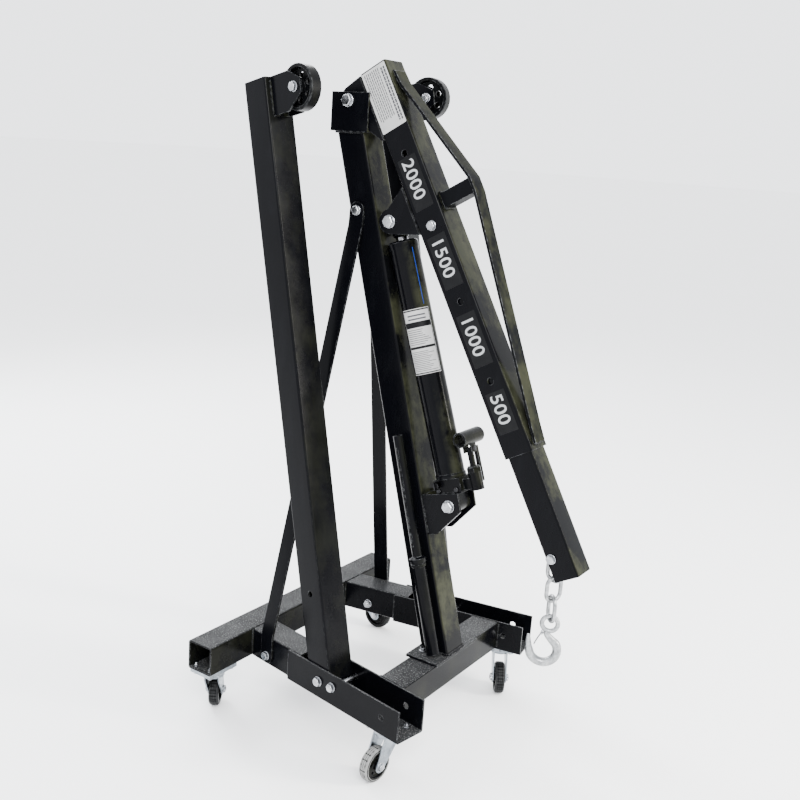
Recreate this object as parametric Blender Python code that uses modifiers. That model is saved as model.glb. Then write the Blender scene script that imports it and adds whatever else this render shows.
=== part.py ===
"""Folding shop crane (engine hoist), folded for storage.

Metres, +Z up. +X points forward, the way the boom and the unfolded legs point. -Y is the near side.
The origin is the middle of the footprint, on the floor.
"""
import bpy
import bmesh
from math import asin, cos, pi, radians, sin
from mathutils import Matrix, Vector

# Stock sizes
TUBE = 0.070
WALL = 0.004
CORNER = 0.005
GAP = 0.0003
PLATE = 0.006

# Base frame
BAR_REAR_X = -0.381
BAR_FRONT_X = BAR_REAR_X + TUBE
BAR_HALF = 0.3525
RAIL_TOP = 0.188
RAIL_START_Y = 0.2146
SPLAY = radians(9.34)
STUB_LENGTH = 0.168
CHANNEL_START = 0.1333
CHANNEL_END = 0.4793
CHANNEL_INSIDE = 0.0714
CHANNEL_FLOOR = RAIL_TOP - TUBE - GAP
FRONT_BAR_X = 0.0434
SIDES = {"near": -1, "far": 1}

# Legs
PIVOT_S = 0.2358
PIVOT_Z = 0.154
LEG_LEAN = {-1: radians(13.07), 1: radians(10.2)}
LEG_LENGTH = 1.305
LEG_TAIL = 0.035
LEG_WHEEL_R = 0.047
LEG_WHEEL_UP = 1.264
LEG_LOCK_UP = 0.195
LOCK_S = 0.2787
LOCK_Z = 0.158
PIVOT_R = 0.0065
LOCK_R = 0.006

# Mast
MAST_FOOT_X = 0.080
FOOT_HALF = 0.088
MAST_LEAN = radians(15.55)
MAST_TOP_Z = 1.3297
CLEVIS_X = -0.238
CLEVIS_LENGTH = 0.100
CLEVIS_HEIGHT = 0.083
CLEVIS_INSIDE = 0.074
BRACE_TOP = (-0.205, 1.163)
BRACE_LOW_S = 0.057
BRACE_LOW_Z = 0.143
BRACE_WIDTH = 0.038
BRACE_THICK = 0.005

# Boom, in its own frame: x along the boom from its rear end, z out of its top face
BOOM_REAR = (-0.189, 1.465)
BOOM_DROP = radians(60.6)
BOOM_LENGTH = 0.880
BOOM_PIVOT = (0.0345, -0.0814)
BOOM_PIVOT_R = 0.0078
RAM_PIVOT = (0.312, -0.0956)
RAM_BOLT_R = 0.0082
PIN_HOLES = (0.199, 0.364, 0.536, 0.715)
INNER_TUBE = 0.060
INNER_START = 0.329
INNER_END = 1.156
HOOK_BOLT = (1.106, -0.017)
HOOK_BOLT_R = 0.006
TRUSS_PATH = ((0.028, 0.0387), (0.058, 0.0410), (0.308, 0.1150), (0.339, 0.1150), (0.836, 0.0425), (0.868, 0.0387))
TRUSS_WIDTH = 0.040

# Jack, in its own frame: z along the ram from the lower pivot, x forward
JACK_PIVOT = (0.086, 0.545)
CYLINDER_R = 0.0325
CYLINDER_START = 0.060
CYLINDER_END = 0.591
PUMP_X = 0.062
SOCKET_UP = 0.142

# Chain and hook
LINK_WIRE = 0.0044
TOP_LINK_INSIDE = 0.0605
LINK_INSIDE = 0.0465
LINK_WIDTH = 0.027
LINK_SLACK = 0.001
LINK_TURN = {1: 0, 2: 62, 3: -44}
HOOK_TURN = 24
HOOK_EYE = 0.012
HOOK_WIRE = 0.005
BOWL = (-0.0092, -0.0612, 0.030)
LATCH_HINGE = (-0.0150, -0.0215)
LATCH_LEAN = 0.47
LATCH_LENGTH = 0.033

# Casters
CASTER_R = 0.0385
CASTER_TRAIL = 0.035
CASTER_WIDTH = 0.025
REAR_CASTER_Y = 0.306
FRONT_CASTER_S = 0.415
CASTER_TURN = {"near_rear": 123.4, "far_rear": 0.0, "near_front": 263.4, "far_front": -56.6}

for old in list(bpy.data.objects):
    bpy.data.objects.remove(old, do_unlink=True)

SCENE = bpy.context.scene
PARTS = bpy.data.collections.new("engine_hoist")
CUTTERS = bpy.data.collections.new("cutters")
SCENE.collection.children.link(PARTS)
SCENE.collection.children.link(CUTTERS)


def material(name, colour, roughness, metallic):
    made = bpy.data.materials.new(name)
    made.use_nodes = True
    shader = made.node_tree.nodes["Principled BSDF"]
    shader.inputs["Base Color"].default_value = (*colour, 1.0)
    shader.inputs["Roughness"].default_value = roughness
    shader.inputs["Metallic"].default_value = metallic
    return made


PAINT = material("black_paint", (0.012, 0.013, 0.016), 0.32, 0.0)
ZINC = material("bright_zinc", (0.75, 0.76, 0.78), 0.28, 1.0)
GALVANISED = material("galvanised", (0.66, 0.67, 0.68), 0.42, 1.0)
RUBBER = material("dark_rubber", (0.05, 0.05, 0.052), 0.75, 0.0)
WHEEL_PAINT = material("wheel_black", (0.02, 0.02, 0.022), 0.45, 0.0)


# ---------------------------------------------------------------- frames

def turned_about_y(origin, angle):
    """A frame at origin whose x axis is tipped up by angle in the XZ plane."""
    return Matrix.Translation(origin) @ Matrix.Rotation(-angle, 4, "Y")


def rail_frame(side):
    """x runs forward along a rail's centre line, z is up, height 0 is the floor."""
    inward = TUBE / 2
    x = BAR_FRONT_X + inward * sin(SPLAY)
    y = side * (RAIL_START_Y - inward * cos(SPLAY))
    return Matrix.Translation((x, y, 0)) @ Matrix.Rotation(side * SPLAY, 4, "Z")


def leg_frame(side):
    """z runs up the folded leg from its pivot, x is out of its front face."""
    return rail_frame(side) @ turned_about_y((PIVOT_S, 0, PIVOT_Z), LEG_LEAN[side])


def jack_angle():
    top = BOOM @ Vector((RAM_PIVOT[0], 0, RAM_PIVOT[1]))
    reach = Vector((top.x - JACK_PIVOT[0], 0, top.z - JACK_PIVOT[1]))
    return asin(-reach.x / reach.length), reach.length


WORLD = Matrix.Identity(4)
MAST = turned_about_y((MAST_FOOT_X, 0, RAIL_TOP), MAST_LEAN)
BOOM = turned_about_y((BOOM_REAR[0], 0, BOOM_REAR[1]), -BOOM_DROP)
JACK_LEAN, JACK_LENGTH = jack_angle()
JACK = turned_about_y((JACK_PIVOT[0], 0, JACK_PIVOT[1]), JACK_LEAN)

# Outlines are drawn in a plane and pushed along the third axis.
ALONG_Z = Matrix.Identity(4)
ALONG_Y = Matrix.Rotation(pi / 2, 4, "X")
ALONG_X = Matrix(((0, 0, 1, 0), (1, 0, 0, 0), (0, 1, 0, 0), (0, 0, 0, 1)))


# ---------------------------------------------------------------- solids

def add_object(name, mesh, frame, paint, smooth=False):
    made = bpy.data.objects.new(name, mesh)
    made.matrix_world = frame
    if paint is None:
        CUTTERS.objects.link(made)
        made.hide_render = True
        made.display_type = "WIRE"
    else:
        PARTS.objects.link(made)
        mesh.materials.append(paint)
    if smooth:
        mesh.shade_smooth()
        mesh.set_sharp_from_angle(angle=radians(35))
    return made


def from_bmesh(name, bm, frame, paint, smooth=False):
    mesh = bpy.data.meshes.new(name)
    bm.to_mesh(mesh)
    bm.free()
    return add_object(name, mesh, frame, paint, smooth)


def box(name, low, high, frame, paint):
    bm = bmesh.new()
    size = Vector(high) - Vector(low)
    middle = (Vector(high) + Vector(low)) / 2
    bmesh.ops.create_cube(bm, size=1.0)
    bmesh.ops.scale(bm, vec=size, verts=bm.verts)
    bmesh.ops.translate(bm, vec=middle, verts=bm.verts)
    return from_bmesh(name, bm, frame, paint)


def rod(name, start, end, radius, frame, paint, segments=12):
    """A cylinder, or a prism with few segments, from start to end in the frame."""
    start = Vector(start)
    axis = Vector(end) - start
    bm = bmesh.new()
    turn = axis.to_track_quat("Z", "Y").to_matrix().to_4x4()
    where = Matrix.Translation(start + axis / 2) @ turn
    bmesh.ops.create_cone(bm, cap_ends=True, segments=segments, radius1=radius, radius2=radius,
                          depth=axis.length, matrix=where)
    return from_bmesh(name, bm, frame, paint, smooth=segments > 6)


def circle(x, y, radius, count=16):
    return [(x + radius * cos(2 * pi * k / count), y + radius * sin(2 * pi * k / count)) for k in range(count)]


def arc(x, y, radius, start, end, count=8):
    """Points round a centre from one angle to another, in degrees."""
    steps = [radians(start + (end - start) * k / count) for k in range(count + 1)]
    return [(x + radius * cos(a), y + radius * sin(a)) for a in steps]


def sheet(name, loops, thickness, plane, offset, frame, paint):
    """An outline, with any holes as further loops, pushed to a thickness about an offset."""
    curve = bpy.data.curves.new(name, "CURVE")
    curve.dimensions = "2D"
    curve.fill_mode = "BOTH"
    curve.extrude = thickness / 2
    for loop in loops:
        spline = curve.splines.new("POLY")
        spline.points.add(len(loop) - 1)
        for point, place in zip(spline.points, loop):
            point.co = (place[0], place[1], 0, 1)
        spline.use_cyclic_u = True
    drawn = bpy.data.objects.new(name + "_outline", curve)
    SCENE.collection.objects.link(drawn)
    bpy.context.view_layer.update()
    graph = bpy.context.evaluated_depsgraph_get()
    mesh = bpy.data.meshes.new_from_object(drawn.evaluated_get(graph))
    bpy.data.objects.remove(drawn)
    bm = bmesh.new()
    bm.from_mesh(mesh)
    bmesh.ops.remove_doubles(bm, verts=bm.verts, dist=0.00001)
    bmesh.ops.transform(bm, matrix=plane @ Matrix.Translation((0, 0, offset)), verts=bm.verts)
    bmesh.ops.recalc_face_normals(bm, faces=bm.faces)
    return from_bmesh(name, bm, frame, paint)


def boolean(target, tool, operation):
    made = target.modifiers.new(operation.lower(), "BOOLEAN")
    made.operation = operation
    made.solver = "EXACT"
    made.object = tool
    return target


def cut(target, *tools):
    for tool in tools:
        boolean(target, tool, "DIFFERENCE")
    return target


def fuse(target, *tools):
    for tool in tools:
        boolean(target, tool, "UNION")
    return target


def hole_y(x, z, radius, frame, reach=0.08):
    """A cutter for a round hole along the frame's y axis."""
    return rod("hole", (x, -reach, z), (x, reach, z), radius, frame, None)


def square_tube(name, start, end, width, frame, paint, wall=WALL):
    """A square tube with rounded corners and open ends, along the frame's x axis."""
    bm = bmesh.new()
    bmesh.ops.create_cube(bm, size=1.0)
    bmesh.ops.scale(bm, vec=(end - start, width, width), verts=bm.verts)
    bmesh.ops.translate(bm, vec=((start + end) / 2, 0, 0), verts=bm.verts)
    ends = [face for face in bm.faces if abs(face.normal.x) > 0.5]
    bmesh.ops.delete(bm, geom=ends, context="FACES_ONLY")
    long_edges = [edge for edge in bm.edges if abs(edge.verts[0].co.x - edge.verts[1].co.x) > 0.001]
    bmesh.ops.bevel(bm, geom=long_edges, offset=CORNER, segments=3, profile=0.5, affect="EDGES")
    made = from_bmesh(name, bm, frame, paint, smooth=True)
    skin = made.modifiers.new("wall", "SOLIDIFY")
    skin.thickness = wall
    skin.offset = -1.0
    skin.use_even_offset = True
    return made


def bolt(name, x, z, head_y, nut_y, radius, frame, paint=ZINC):
    """A hex bolt along the frame's y axis with its nut, joined as one solid."""
    out = 1 if head_y > nut_y else -1
    head = radius * 1.75
    thick = radius * 1.3
    shank = rod(name, (x, head_y + out * thick / 2, z), (x, nut_y - out * (thick + 0.004), z), radius, frame, paint)
    top = rod("hex", (x, head_y, z), (x, head_y + out * thick, z), head, frame, None, segments=6)
    nut = rod("hex", (x, nut_y, z), (x, nut_y - out * thick, z), head, frame, None, segments=6)
    return fuse(shank, top, nut)


def half_bolt(name, x, z, head_y, tip_y, radius, frame, paint=ZINC):
    """A hex head with only the part of its shank that lies in the wall."""
    out = 1 if head_y > tip_y else -1
    thick = radius * 1.3
    shank = rod(name, (x, head_y + out * thick / 2, z), (x, tip_y, z), radius, frame, paint)
    top = rod("hex", (x, head_y, z), (x, head_y + out * thick, z), radius * 1.75, frame, None, segments=6)
    return fuse(shank, top)


def turned(name, profile, frame, paint, steps=24):
    """A closed profile of (radius, height) spun round the frame's z axis."""
    bm = bmesh.new()
    verts = [bm.verts.new((r, 0, h)) for r, h in profile]
    for first, second in zip(verts, verts[1:] + verts[:1]):
        bm.edges.new((first, second))
    made = from_bmesh(name, bm, frame, paint)
    spin = made.modifiers.new("turn", "SCREW")
    spin.steps = steps
    spin.render_steps = steps
    spin.use_merge_vertices = True
    spin.merge_threshold = 0.00005
    spin.use_smooth_shade = True
    return made


# ---------------------------------------------------------------- base frame

def rear_crossbar():
    frame = Matrix.Translation((BAR_REAR_X + TUBE / 2, 0, RAIL_TOP - TUBE / 2)) @ Matrix.Rotation(pi / 2, 4, "Z")
    square_tube("rear_crossbar", -BAR_HALF, BAR_HALF, TUBE, frame, PAINT)


def rail(word, side):
    frame = rail_frame(side)
    middle = frame @ Matrix.Translation((0, 0, RAIL_TOP - TUBE / 2))
    stub = square_tube(word + "_rail_stub", -0.030, STUB_LENGTH, TUBE, middle, PAINT)
    behind = box("mitre", (-1, -1, 0), (BAR_FRONT_X + GAP, 1, 0.3), WORLD, None)
    cut(stub, behind, hole_y(BRACE_LOW_S, BRACE_LOW_Z, 0.0063, frame))
    inner = CHANNEL_INSIDE / 2
    outer = inner + WALL
    low = CHANNEL_FLOOR - WALL
    section = [(-outer, RAIL_TOP)] + arc(-outer + CORNER, low + CORNER, CORNER, 180, 270, 3)
    section += arc(outer - CORNER, low + CORNER, CORNER, 270, 360, 3) + [(outer, RAIL_TOP), (inner, RAIL_TOP)]
    section += [(inner, CHANNEL_FLOOR), (-inner, CHANNEL_FLOOR), (-inner, RAIL_TOP)]
    length = CHANNEL_END - CHANNEL_START
    channel = sheet(word + "_leg_channel", [section], length, ALONG_X, CHANNEL_START + length / 2, frame, PAINT)
    cut(channel, hole_y(PIVOT_S, PIVOT_Z, PIVOT_R + GAP, frame), hole_y(LOCK_S, LOCK_Z, LOCK_R + GAP, frame),
        hole_y(PIVOT_S + LEG_LOCK_UP, PIVOT_Z, LOCK_R + 0.001, frame))
    wall_y = side * (outer + GAP)
    bolt(word + "_leg_pivot_bolt", PIVOT_S, PIVOT_Z, wall_y, -wall_y, PIVOT_R, frame)
    half_bolt(word + "_lock_bolt", LOCK_S, LOCK_Z, wall_y, side * (inner + GAP), LOCK_R, frame)


def front_crossbar():
    frame = Matrix.Translation((FRONT_BAR_X + TUBE / 2, 0, RAIL_TOP - TUBE / 2)) @ Matrix.Rotation(pi / 2, 4, "Z")
    bar = square_tube("front_crossbar", -0.25, 0.25, TUBE, frame, PAINT)
    face = CHANNEL_INSIDE / 2 + WALL + GAP
    for side in SIDES.values():
        edges = sorted((-side * face, side * 0.3))
        cut(bar, box("mitre", (0, edges[0], 0), (0.8, edges[1], 0.3), rail_frame(side), None))


def foot_plate():
    box("mast_foot_plate", (MAST_FOOT_X - 0.043, -FOOT_HALF, RAIL_TOP + GAP),
        (MAST_FOOT_X + 0.041, FOOT_HALF, RAIL_TOP + GAP + PLATE), WORLD, PAINT)


def mast():
    upright = MAST @ Matrix.Rotation(-pi / 2, 4, "Y")
    tube = square_tube("mast", -0.05, 1.25, TUBE, upright, PAINT)
    low = RAIL_TOP + PLATE + 2 * GAP
    cut(tube, box("floor_cut", (-0.3, -0.2, -0.2), (0.4, 0.2, low), WORLD, None),
        box("top_cut", (-0.6, -0.2, MAST_TOP_Z), (0.2, 0.2, 1.7), WORLD, None),
        hole_y(BRACE_TOP[0], BRACE_TOP[1], 0.0063, WORLD))
    base = MAST_TOP_Z + GAP
    inner = CLEVIS_INSIDE / 2
    outer = inner + WALL
    top = base + CLEVIS_HEIGHT
    section = [(-outer, base), (outer, base), (outer, top), (inner, top), (inner, base + WALL)]
    section += [(-inner, base + WALL), (-inner, top), (-outer, top)]
    clevis = sheet("mast_clevis", [section], CLEVIS_LENGTH, ALONG_X, CLEVIS_X, WORLD, PAINT)
    pivot = BOOM @ Vector((BOOM_PIVOT[0], 0, BOOM_PIVOT[1]))
    cut(clevis, hole_y(pivot.x, pivot.z, BOOM_PIVOT_R + GAP, WORLD))
    bolt("boom_pivot_bolt", pivot.x, pivot.z, -outer - GAP, outer + GAP, BOOM_PIVOT_R, WORLD)


def brace(word, side):
    """A flat bar, bent where it leaves the mast and where it meets the rail."""
    rails = rail_frame(side)
    along_rail = (rails.to_3x3() @ Vector((1, 0, 0)))
    top_y = side * (TUBE / 2 + GAP + BRACE_THICK / 2)
    top = Vector((BRACE_TOP[0], top_y, BRACE_TOP[1]))
    low = rails @ Vector((BRACE_LOW_S, side * (TUBE / 2 + GAP + BRACE_THICK / 2), BRACE_LOW_Z))
    half = BRACE_WIDTH / 2
    run = (low - top).normalized()
    lean = Vector((run.x, 0, run.z)).normalized()
    rows = []
    for angle in (15, 35, 60, 90):
        rows.append((top - lean * half * cos(radians(angle)), half * sin(radians(angle)), Vector((1, 0, 0))))
    rows.append((top + lean * 0.032, half, Vector((1, 0, 0))))
    up = Vector((0, 0, 1))
    rows.append((low + up * 0.048, half, along_rail))
    for angle in (90, 60, 35, 15):
        rows.append((low - up * half * cos(radians(angle)), half * sin(radians(angle)), along_rail))
    bm = bmesh.new()
    pairs = [(bm.verts.new(p - w * h), bm.verts.new(p + w * h)) for p, h, w in rows]
    for (a, b), (c, d) in zip(pairs, pairs[1:]):
        bm.faces.new((a, b, d, c))
    bmesh.ops.recalc_face_normals(bm, faces=bm.faces)
    bar = from_bmesh(word + "_brace", bm, WORLD, PAINT)
    skin = bar.modifiers.new("thickness", "SOLIDIFY")
    skin.thickness = BRACE_THICK
    skin.offset = 0
    cut(bar, hole_y(BRACE_TOP[0], BRACE_TOP[1], 0.0063, WORLD), hole_y(BRACE_LOW_S, BRACE_LOW_Z, 0.0063, rails))


def brace_top_bolt():
    face = TUBE / 2 + BRACE_THICK + 3 * GAP
    bolt("brace_top_bolt", BRACE_TOP[0], BRACE_TOP[1], -face, face, 0.006, WORLD)


def pump_handle():
    """The two-piece pump handle, kept beside the mast with its foot on the foot plate."""
    frame = MAST @ Matrix.Translation((0.011, -0.0555, 0.0))
    profile = [(0.011, 0.512), (0.011, 0.236), (0.019, 0.232), (0.019, 0.224), (0.0155, 0.220), (0.0155, 0.0085),
               (0.0085, 0.0085), (0.0085, 0.512)]
    handle = turned("pump_handle", profile, frame, PAINT, steps=16)
    slot = box("slot", (-0.0018, -0.03, 0.26), (0.0018, -0.0095, 0.49), frame, None)
    cut(handle, slot)


# ---------------------------------------------------------------- legs

def leg(word, side):
    frame = leg_frame(side)
    half = TUBE / 2
    body = box(word + "_leg", (-half, -half, 0), (half, half, LEG_LENGTH), frame, PAINT)
    corners = body.modifiers.new("corners", "BEVEL")
    corners.width = CORNER
    corners.segments = 3
    corners.limit_method = "ANGLE"
    tail = rod("tail", (0, -half + 0.0004, 0), (0, half - 0.0004, 0), LEG_TAIL, frame, None, segments=16)
    fuse(body, tail)
    inner = half - WALL
    hollow = box("hollow", (-inner, -inner, -0.1), (inner, inner, LEG_LENGTH + 0.1), frame, None)
    trim = box("trim", (-0.1, -0.1, LEG_LENGTH - CORNER), (0.1, 0.1, LEG_LENGTH + 0.05), frame, None)
    cut(body, hollow, trim, hole_y(0, 0, PIVOT_R + GAP, frame), hole_y(0, LEG_LOCK_UP, LOCK_R + 0.001, frame))


def leg_wheel_parts(word, side):
    frame = leg_frame(side)
    face = TUBE / 2 + GAP
    reach = PIVOT_Z - LEG_WHEEL_R
    inner = 0.0170
    outer = inner + WALL
    low = LEG_WHEEL_UP - 0.045
    high = LEG_LENGTH - CORNER
    section = [(face, -outer), (reach + 0.020, -outer), (reach + 0.020, -inner), (face + WALL, -inner)]
    section += [(face + WALL, inner), (reach + 0.020, inner), (reach + 0.020, outer), (face, outer)]
    height = high - low
    bracket = sheet(word + "_leg_wheel_bracket", [section], height, ALONG_Z, low + height / 2, frame, PAINT)
    taper = sheet("taper", [[(0.055, low - 0.02), (0.2, low - 0.02), (0.2, LEG_WHEEL_UP - 0.004),
                             (reach + 0.0205, LEG_WHEEL_UP - 0.014)]], 0.1, ALONG_Y, 0, frame, None)
    crown = sheet("crown", [[(0.060, high + 0.02), (0.2, high + 0.02), (0.2, LEG_WHEEL_UP + 0.004),
                             (reach + 0.0205, LEG_WHEEL_UP + 0.014)]], 0.1, ALONG_Y, 0, frame, None)
    cut(bracket, taper, crown, hole_y(reach, LEG_WHEEL_UP, 0.0063, frame))
    bolt(word + "_leg_wheel_axle", reach, LEG_WHEEL_UP, side * (outer + GAP), -side * (outer + GAP), 0.006, frame)
    hub = frame @ Matrix.Translation((reach, 0, LEG_WHEEL_UP)) @ ALONG_Y
    wide = 0.0125
    web = 0.002
    profile = [(0.0125, 0.0155), (0.014, web), (0.037, web), (0.040, wide), (LEG_WHEEL_R, wide)]
    profile += [(LEG_WHEEL_R, -wide)]
    profile += [(0.040, -wide), (0.037, -web), (0.014, -web), (0.0125, -0.0155)]
    profile += [(0.0063, -0.0155), (0.0063, 0.0155)]
    wheel = turned(word + "_leg_wheel", profile, hub, WHEEL_PAINT, steps=24)
    lighten(wheel, hub, 0.0250, 0.0070, 6)


def lighten(wheel, hub, ring, radius, count):
    """Cuts a ring of round holes through a wheel's web."""
    for k in range(count):
        angle = 2 * pi * k / count + 0.3
        x = ring * cos(angle)
        y = ring * sin(angle)
        cut(wheel, rod("hole", (x, y, -0.02), (x, y, 0.02), radius, hub, None, segments=8))


# ---------------------------------------------------------------- casters

def caster(word, x, y, ceiling, yaw):
    """Mounting plate, swivel fork and wheel, with the wheel trailing at angle turn."""
    turn = CASTER_TURN[word]
    plate_low = 0.1085
    along = Matrix.Translation((x, y, 0)) @ Matrix.Rotation(yaw, 4, "Z")
    plate = box(word + "_caster_plate", (-0.044, -0.031, plate_low), (0.044, 0.031, ceiling - GAP), along, ZINC)
    race = rod("race", (0, 0, plate_low - 0.004), (0, 0, plate_low + 0.001), 0.025, along, None, segments=16)
    fuse(plate, race)
    frame = Matrix.Translation((x, y, 0)) @ Matrix.Rotation(radians(turn), 4, "Z")
    crown_top = plate_low - 0.004 - GAP
    crown_low = crown_top - 0.012
    inner = CASTER_WIDTH / 2 + 0.002
    outer = inner + 0.003
    trail = CASTER_TRAIL
    shape = [(-0.024, crown_top), (-0.024, crown_low - 0.004), (trail - 0.014, CASTER_R - 0.004)]
    shape += arc(trail, CASTER_R, 0.0135, 200, 380, 8) + [(0.030, crown_low - 0.006), (0.024, crown_top)]
    fork = sheet(word + "_caster_fork", [shape], 2 * outer, ALONG_Y, 0, frame, ZINC)
    slot = box("slot", (-0.1, -inner, -0.01), (0.1, inner, crown_top - 0.004), frame, None)
    crown = rod("crown", (0, 0, crown_top - 0.009), (0, 0, crown_top), 0.0255, frame, None, segments=16)
    cut(fork, slot)
    fuse(fork, crown)
    axle = rod("axle", (trail, -outer - 0.005, CASTER_R), (trail, outer + 0.005, CASTER_R), 0.0045, frame, None)
    fuse(fork, axle)
    for end in (-1, 1):
        nut = rod("hex", (trail, end * (outer - 0.0005), CASTER_R), (trail, end * (outer + 0.005), CASTER_R), 0.0085,
                  frame, None, segments=6)
        fuse(fork, nut)
    hub = frame @ Matrix.Translation((trail, 0, CASTER_R)) @ ALONG_Y
    wide = CASTER_WIDTH / 2
    rim = CASTER_R
    profile = [(0.010, wide + 0.001), (0.0115, 0.006), (0.0265, 0.006), (0.0285, wide - 0.001)]
    profile += [(rim - 0.004, wide - 0.001), (rim, wide - 0.006), (rim, 0.006 - wide), (rim - 0.004, 0.001 - wide)]
    profile += [(0.0285, 0.001 - wide), (0.0265, -0.006), (0.0115, -0.006)]
    profile += [(0.010, -wide - 0.001), (0.0048, -wide - 0.001), (0.0048, wide + 0.001)]
    wheel = turned(word + "_caster_wheel", profile, hub, RUBBER, steps=20)
    lighten(wheel, hub, 0.0190, 0.0042, 5)


def casters():
    for word, side in SIDES.items():
        bar_x = BAR_REAR_X + TUBE / 2
        caster(word + "_rear", bar_x, side * REAR_CASTER_Y, RAIL_TOP - TUBE, pi / 2)
        at = rail_frame(side) @ Vector((FRONT_CASTER_S, 0, 0))
        caster(word + "_front", at.x, at.y, CHANNEL_FLOOR - WALL, side * SPLAY)


# ---------------------------------------------------------------- boom

def boom():
    tube = square_tube("boom_tube", 0, BOOM_LENGTH, TUBE, BOOM, PAINT)
    for place in PIN_HOLES:
        cut(tube, hole_y(place, 0, 0.0072, BOOM))
    half_bolt("adjusting_bolt", PIN_HOLES[1], 0, -TUBE / 2 - GAP, -TUBE / 2 + WALL, 0.0060, BOOM)
    pivot_bracket()
    ram_bracket()
    truss()
    inner = square_tube("inner_boom", INNER_START, INNER_END, INNER_TUBE, BOOM, PAINT)
    slot = box("slot", (HOOK_BOLT[0] - 0.044, -0.0175, -0.05), (INNER_END + 0.01, 0.0175, 0), BOOM, None)
    cut(inner, hole_y(HOOK_BOLT[0], HOOK_BOLT[1], 0.0063, BOOM), slot)
    side = INNER_TUBE / 2 + GAP
    bolt("hook_bolt", HOOK_BOLT[0], HOOK_BOLT[1], -side, side, HOOK_BOLT_R, BOOM)


def two_ears(name, outline, hole, spacing):
    """Two plates under the boom joined by a web plate against its lower face."""
    thick = 0.0055
    bore = list(reversed(circle(hole[0], hole[1], hole[2])))
    ears = sheet(name, [outline, bore], 2 * spacing, ALONG_Y, 0, BOOM, PAINT)
    low = -TUBE / 2 - GAP - WALL
    space = box("space", (-0.2, -spacing + thick, -0.3), (0.8, spacing - thick, low), BOOM, None)
    return cut(ears, space)


def pivot_bracket():
    top = -TUBE / 2 - GAP
    x, z = BOOM_PIVOT
    outline = [(0.002, top), (0.006, -0.084)] + arc(x, z, 0.0275, 185, 315, 7) + [(0.150, top - 0.006), (0.150, top)]
    two_ears("boom_pivot_bracket", outline, (x, z, BOOM_PIVOT_R + GAP), TUBE / 2 + 0.0005)


def ram_bracket():
    top = -TUBE / 2 - GAP
    x, z = RAM_PIVOT
    outline = [(x - 0.052, top)] + arc(x, z, 0.027, 165, 345, 8) + [(x + 0.058, top)]
    two_ears("ram_bracket", outline, (x, z, RAM_BOLT_R + GAP), TUBE / 2)


def ram_bolt():
    """The near end of the ram bolt: its head with the shank that lies in the bracket's ear."""
    half_bolt("ram_bolt", RAM_PIVOT[0], RAM_PIVOT[1], -TUBE / 2 - GAP, -TUBE / 2 + 0.0055, RAM_BOLT_R, BOOM)


def truss():
    """The strap over the boom and the post that it bends across."""
    thick = 0.006
    path = [Vector(p) for p in TRUSS_PATH]
    upper = []
    lower = []
    for k, point in enumerate(path):
        before = path[max(k - 1, 0)]
        after = path[min(k + 1, len(path) - 1)]
        along = (after - before).normalized()
        normal = Vector((-along.y, along.x))
        upper.append(point + normal * thick / 2)
        lower.append(point - normal * thick / 2)
    outline = [tuple(p) for p in upper + lower[::-1]]
    strap = sheet("boom_truss", [outline], TRUSS_WIDTH, ALONG_Y, 0, BOOM, PAINT)
    fuse(strap, box("post", (0.307, -0.018, TUBE / 2 + GAP), (0.340, 0.018, 0.1130), BOOM, None))


# ---------------------------------------------------------------- jack

def jack_bracket():
    """A U-shaped bracket on the mast's front face, with its lower front corners cut off."""
    foot = MAST.inverted() @ Vector((JACK_PIVOT[0], 0, JACK_PIVOT[1]))
    face = TUBE / 2 + GAP
    inner = 0.0300
    outer = TUBE / 2
    front = foot.x + 0.028
    section = [(face, -outer), (front, -outer), (front, -inner), (face + WALL, -inner)]
    section += [(face + WALL, inner), (front, inner), (front, outer), (face, outer)]
    low = foot.z - 0.062
    high = foot.z + 0.029
    bracket = sheet("jack_bracket", [section], high - low, ALONG_Z, (low + high) / 2, MAST, PAINT)
    corner = sheet("corner", [[(face + 0.022, low - 0.001), (front + 0.05, low - 0.001), (front + 0.05, foot.z + 0.02),
                               (front + 0.0001, foot.z - 0.014)]], 0.1, ALONG_Y, 0, MAST, None)
    cut(bracket, corner, hole_y(foot.x, foot.z, 0.0083, MAST))
    bolt("jack_base_bolt", foot.x, foot.z, -outer - GAP, outer + GAP, 0.008, MAST)


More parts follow.
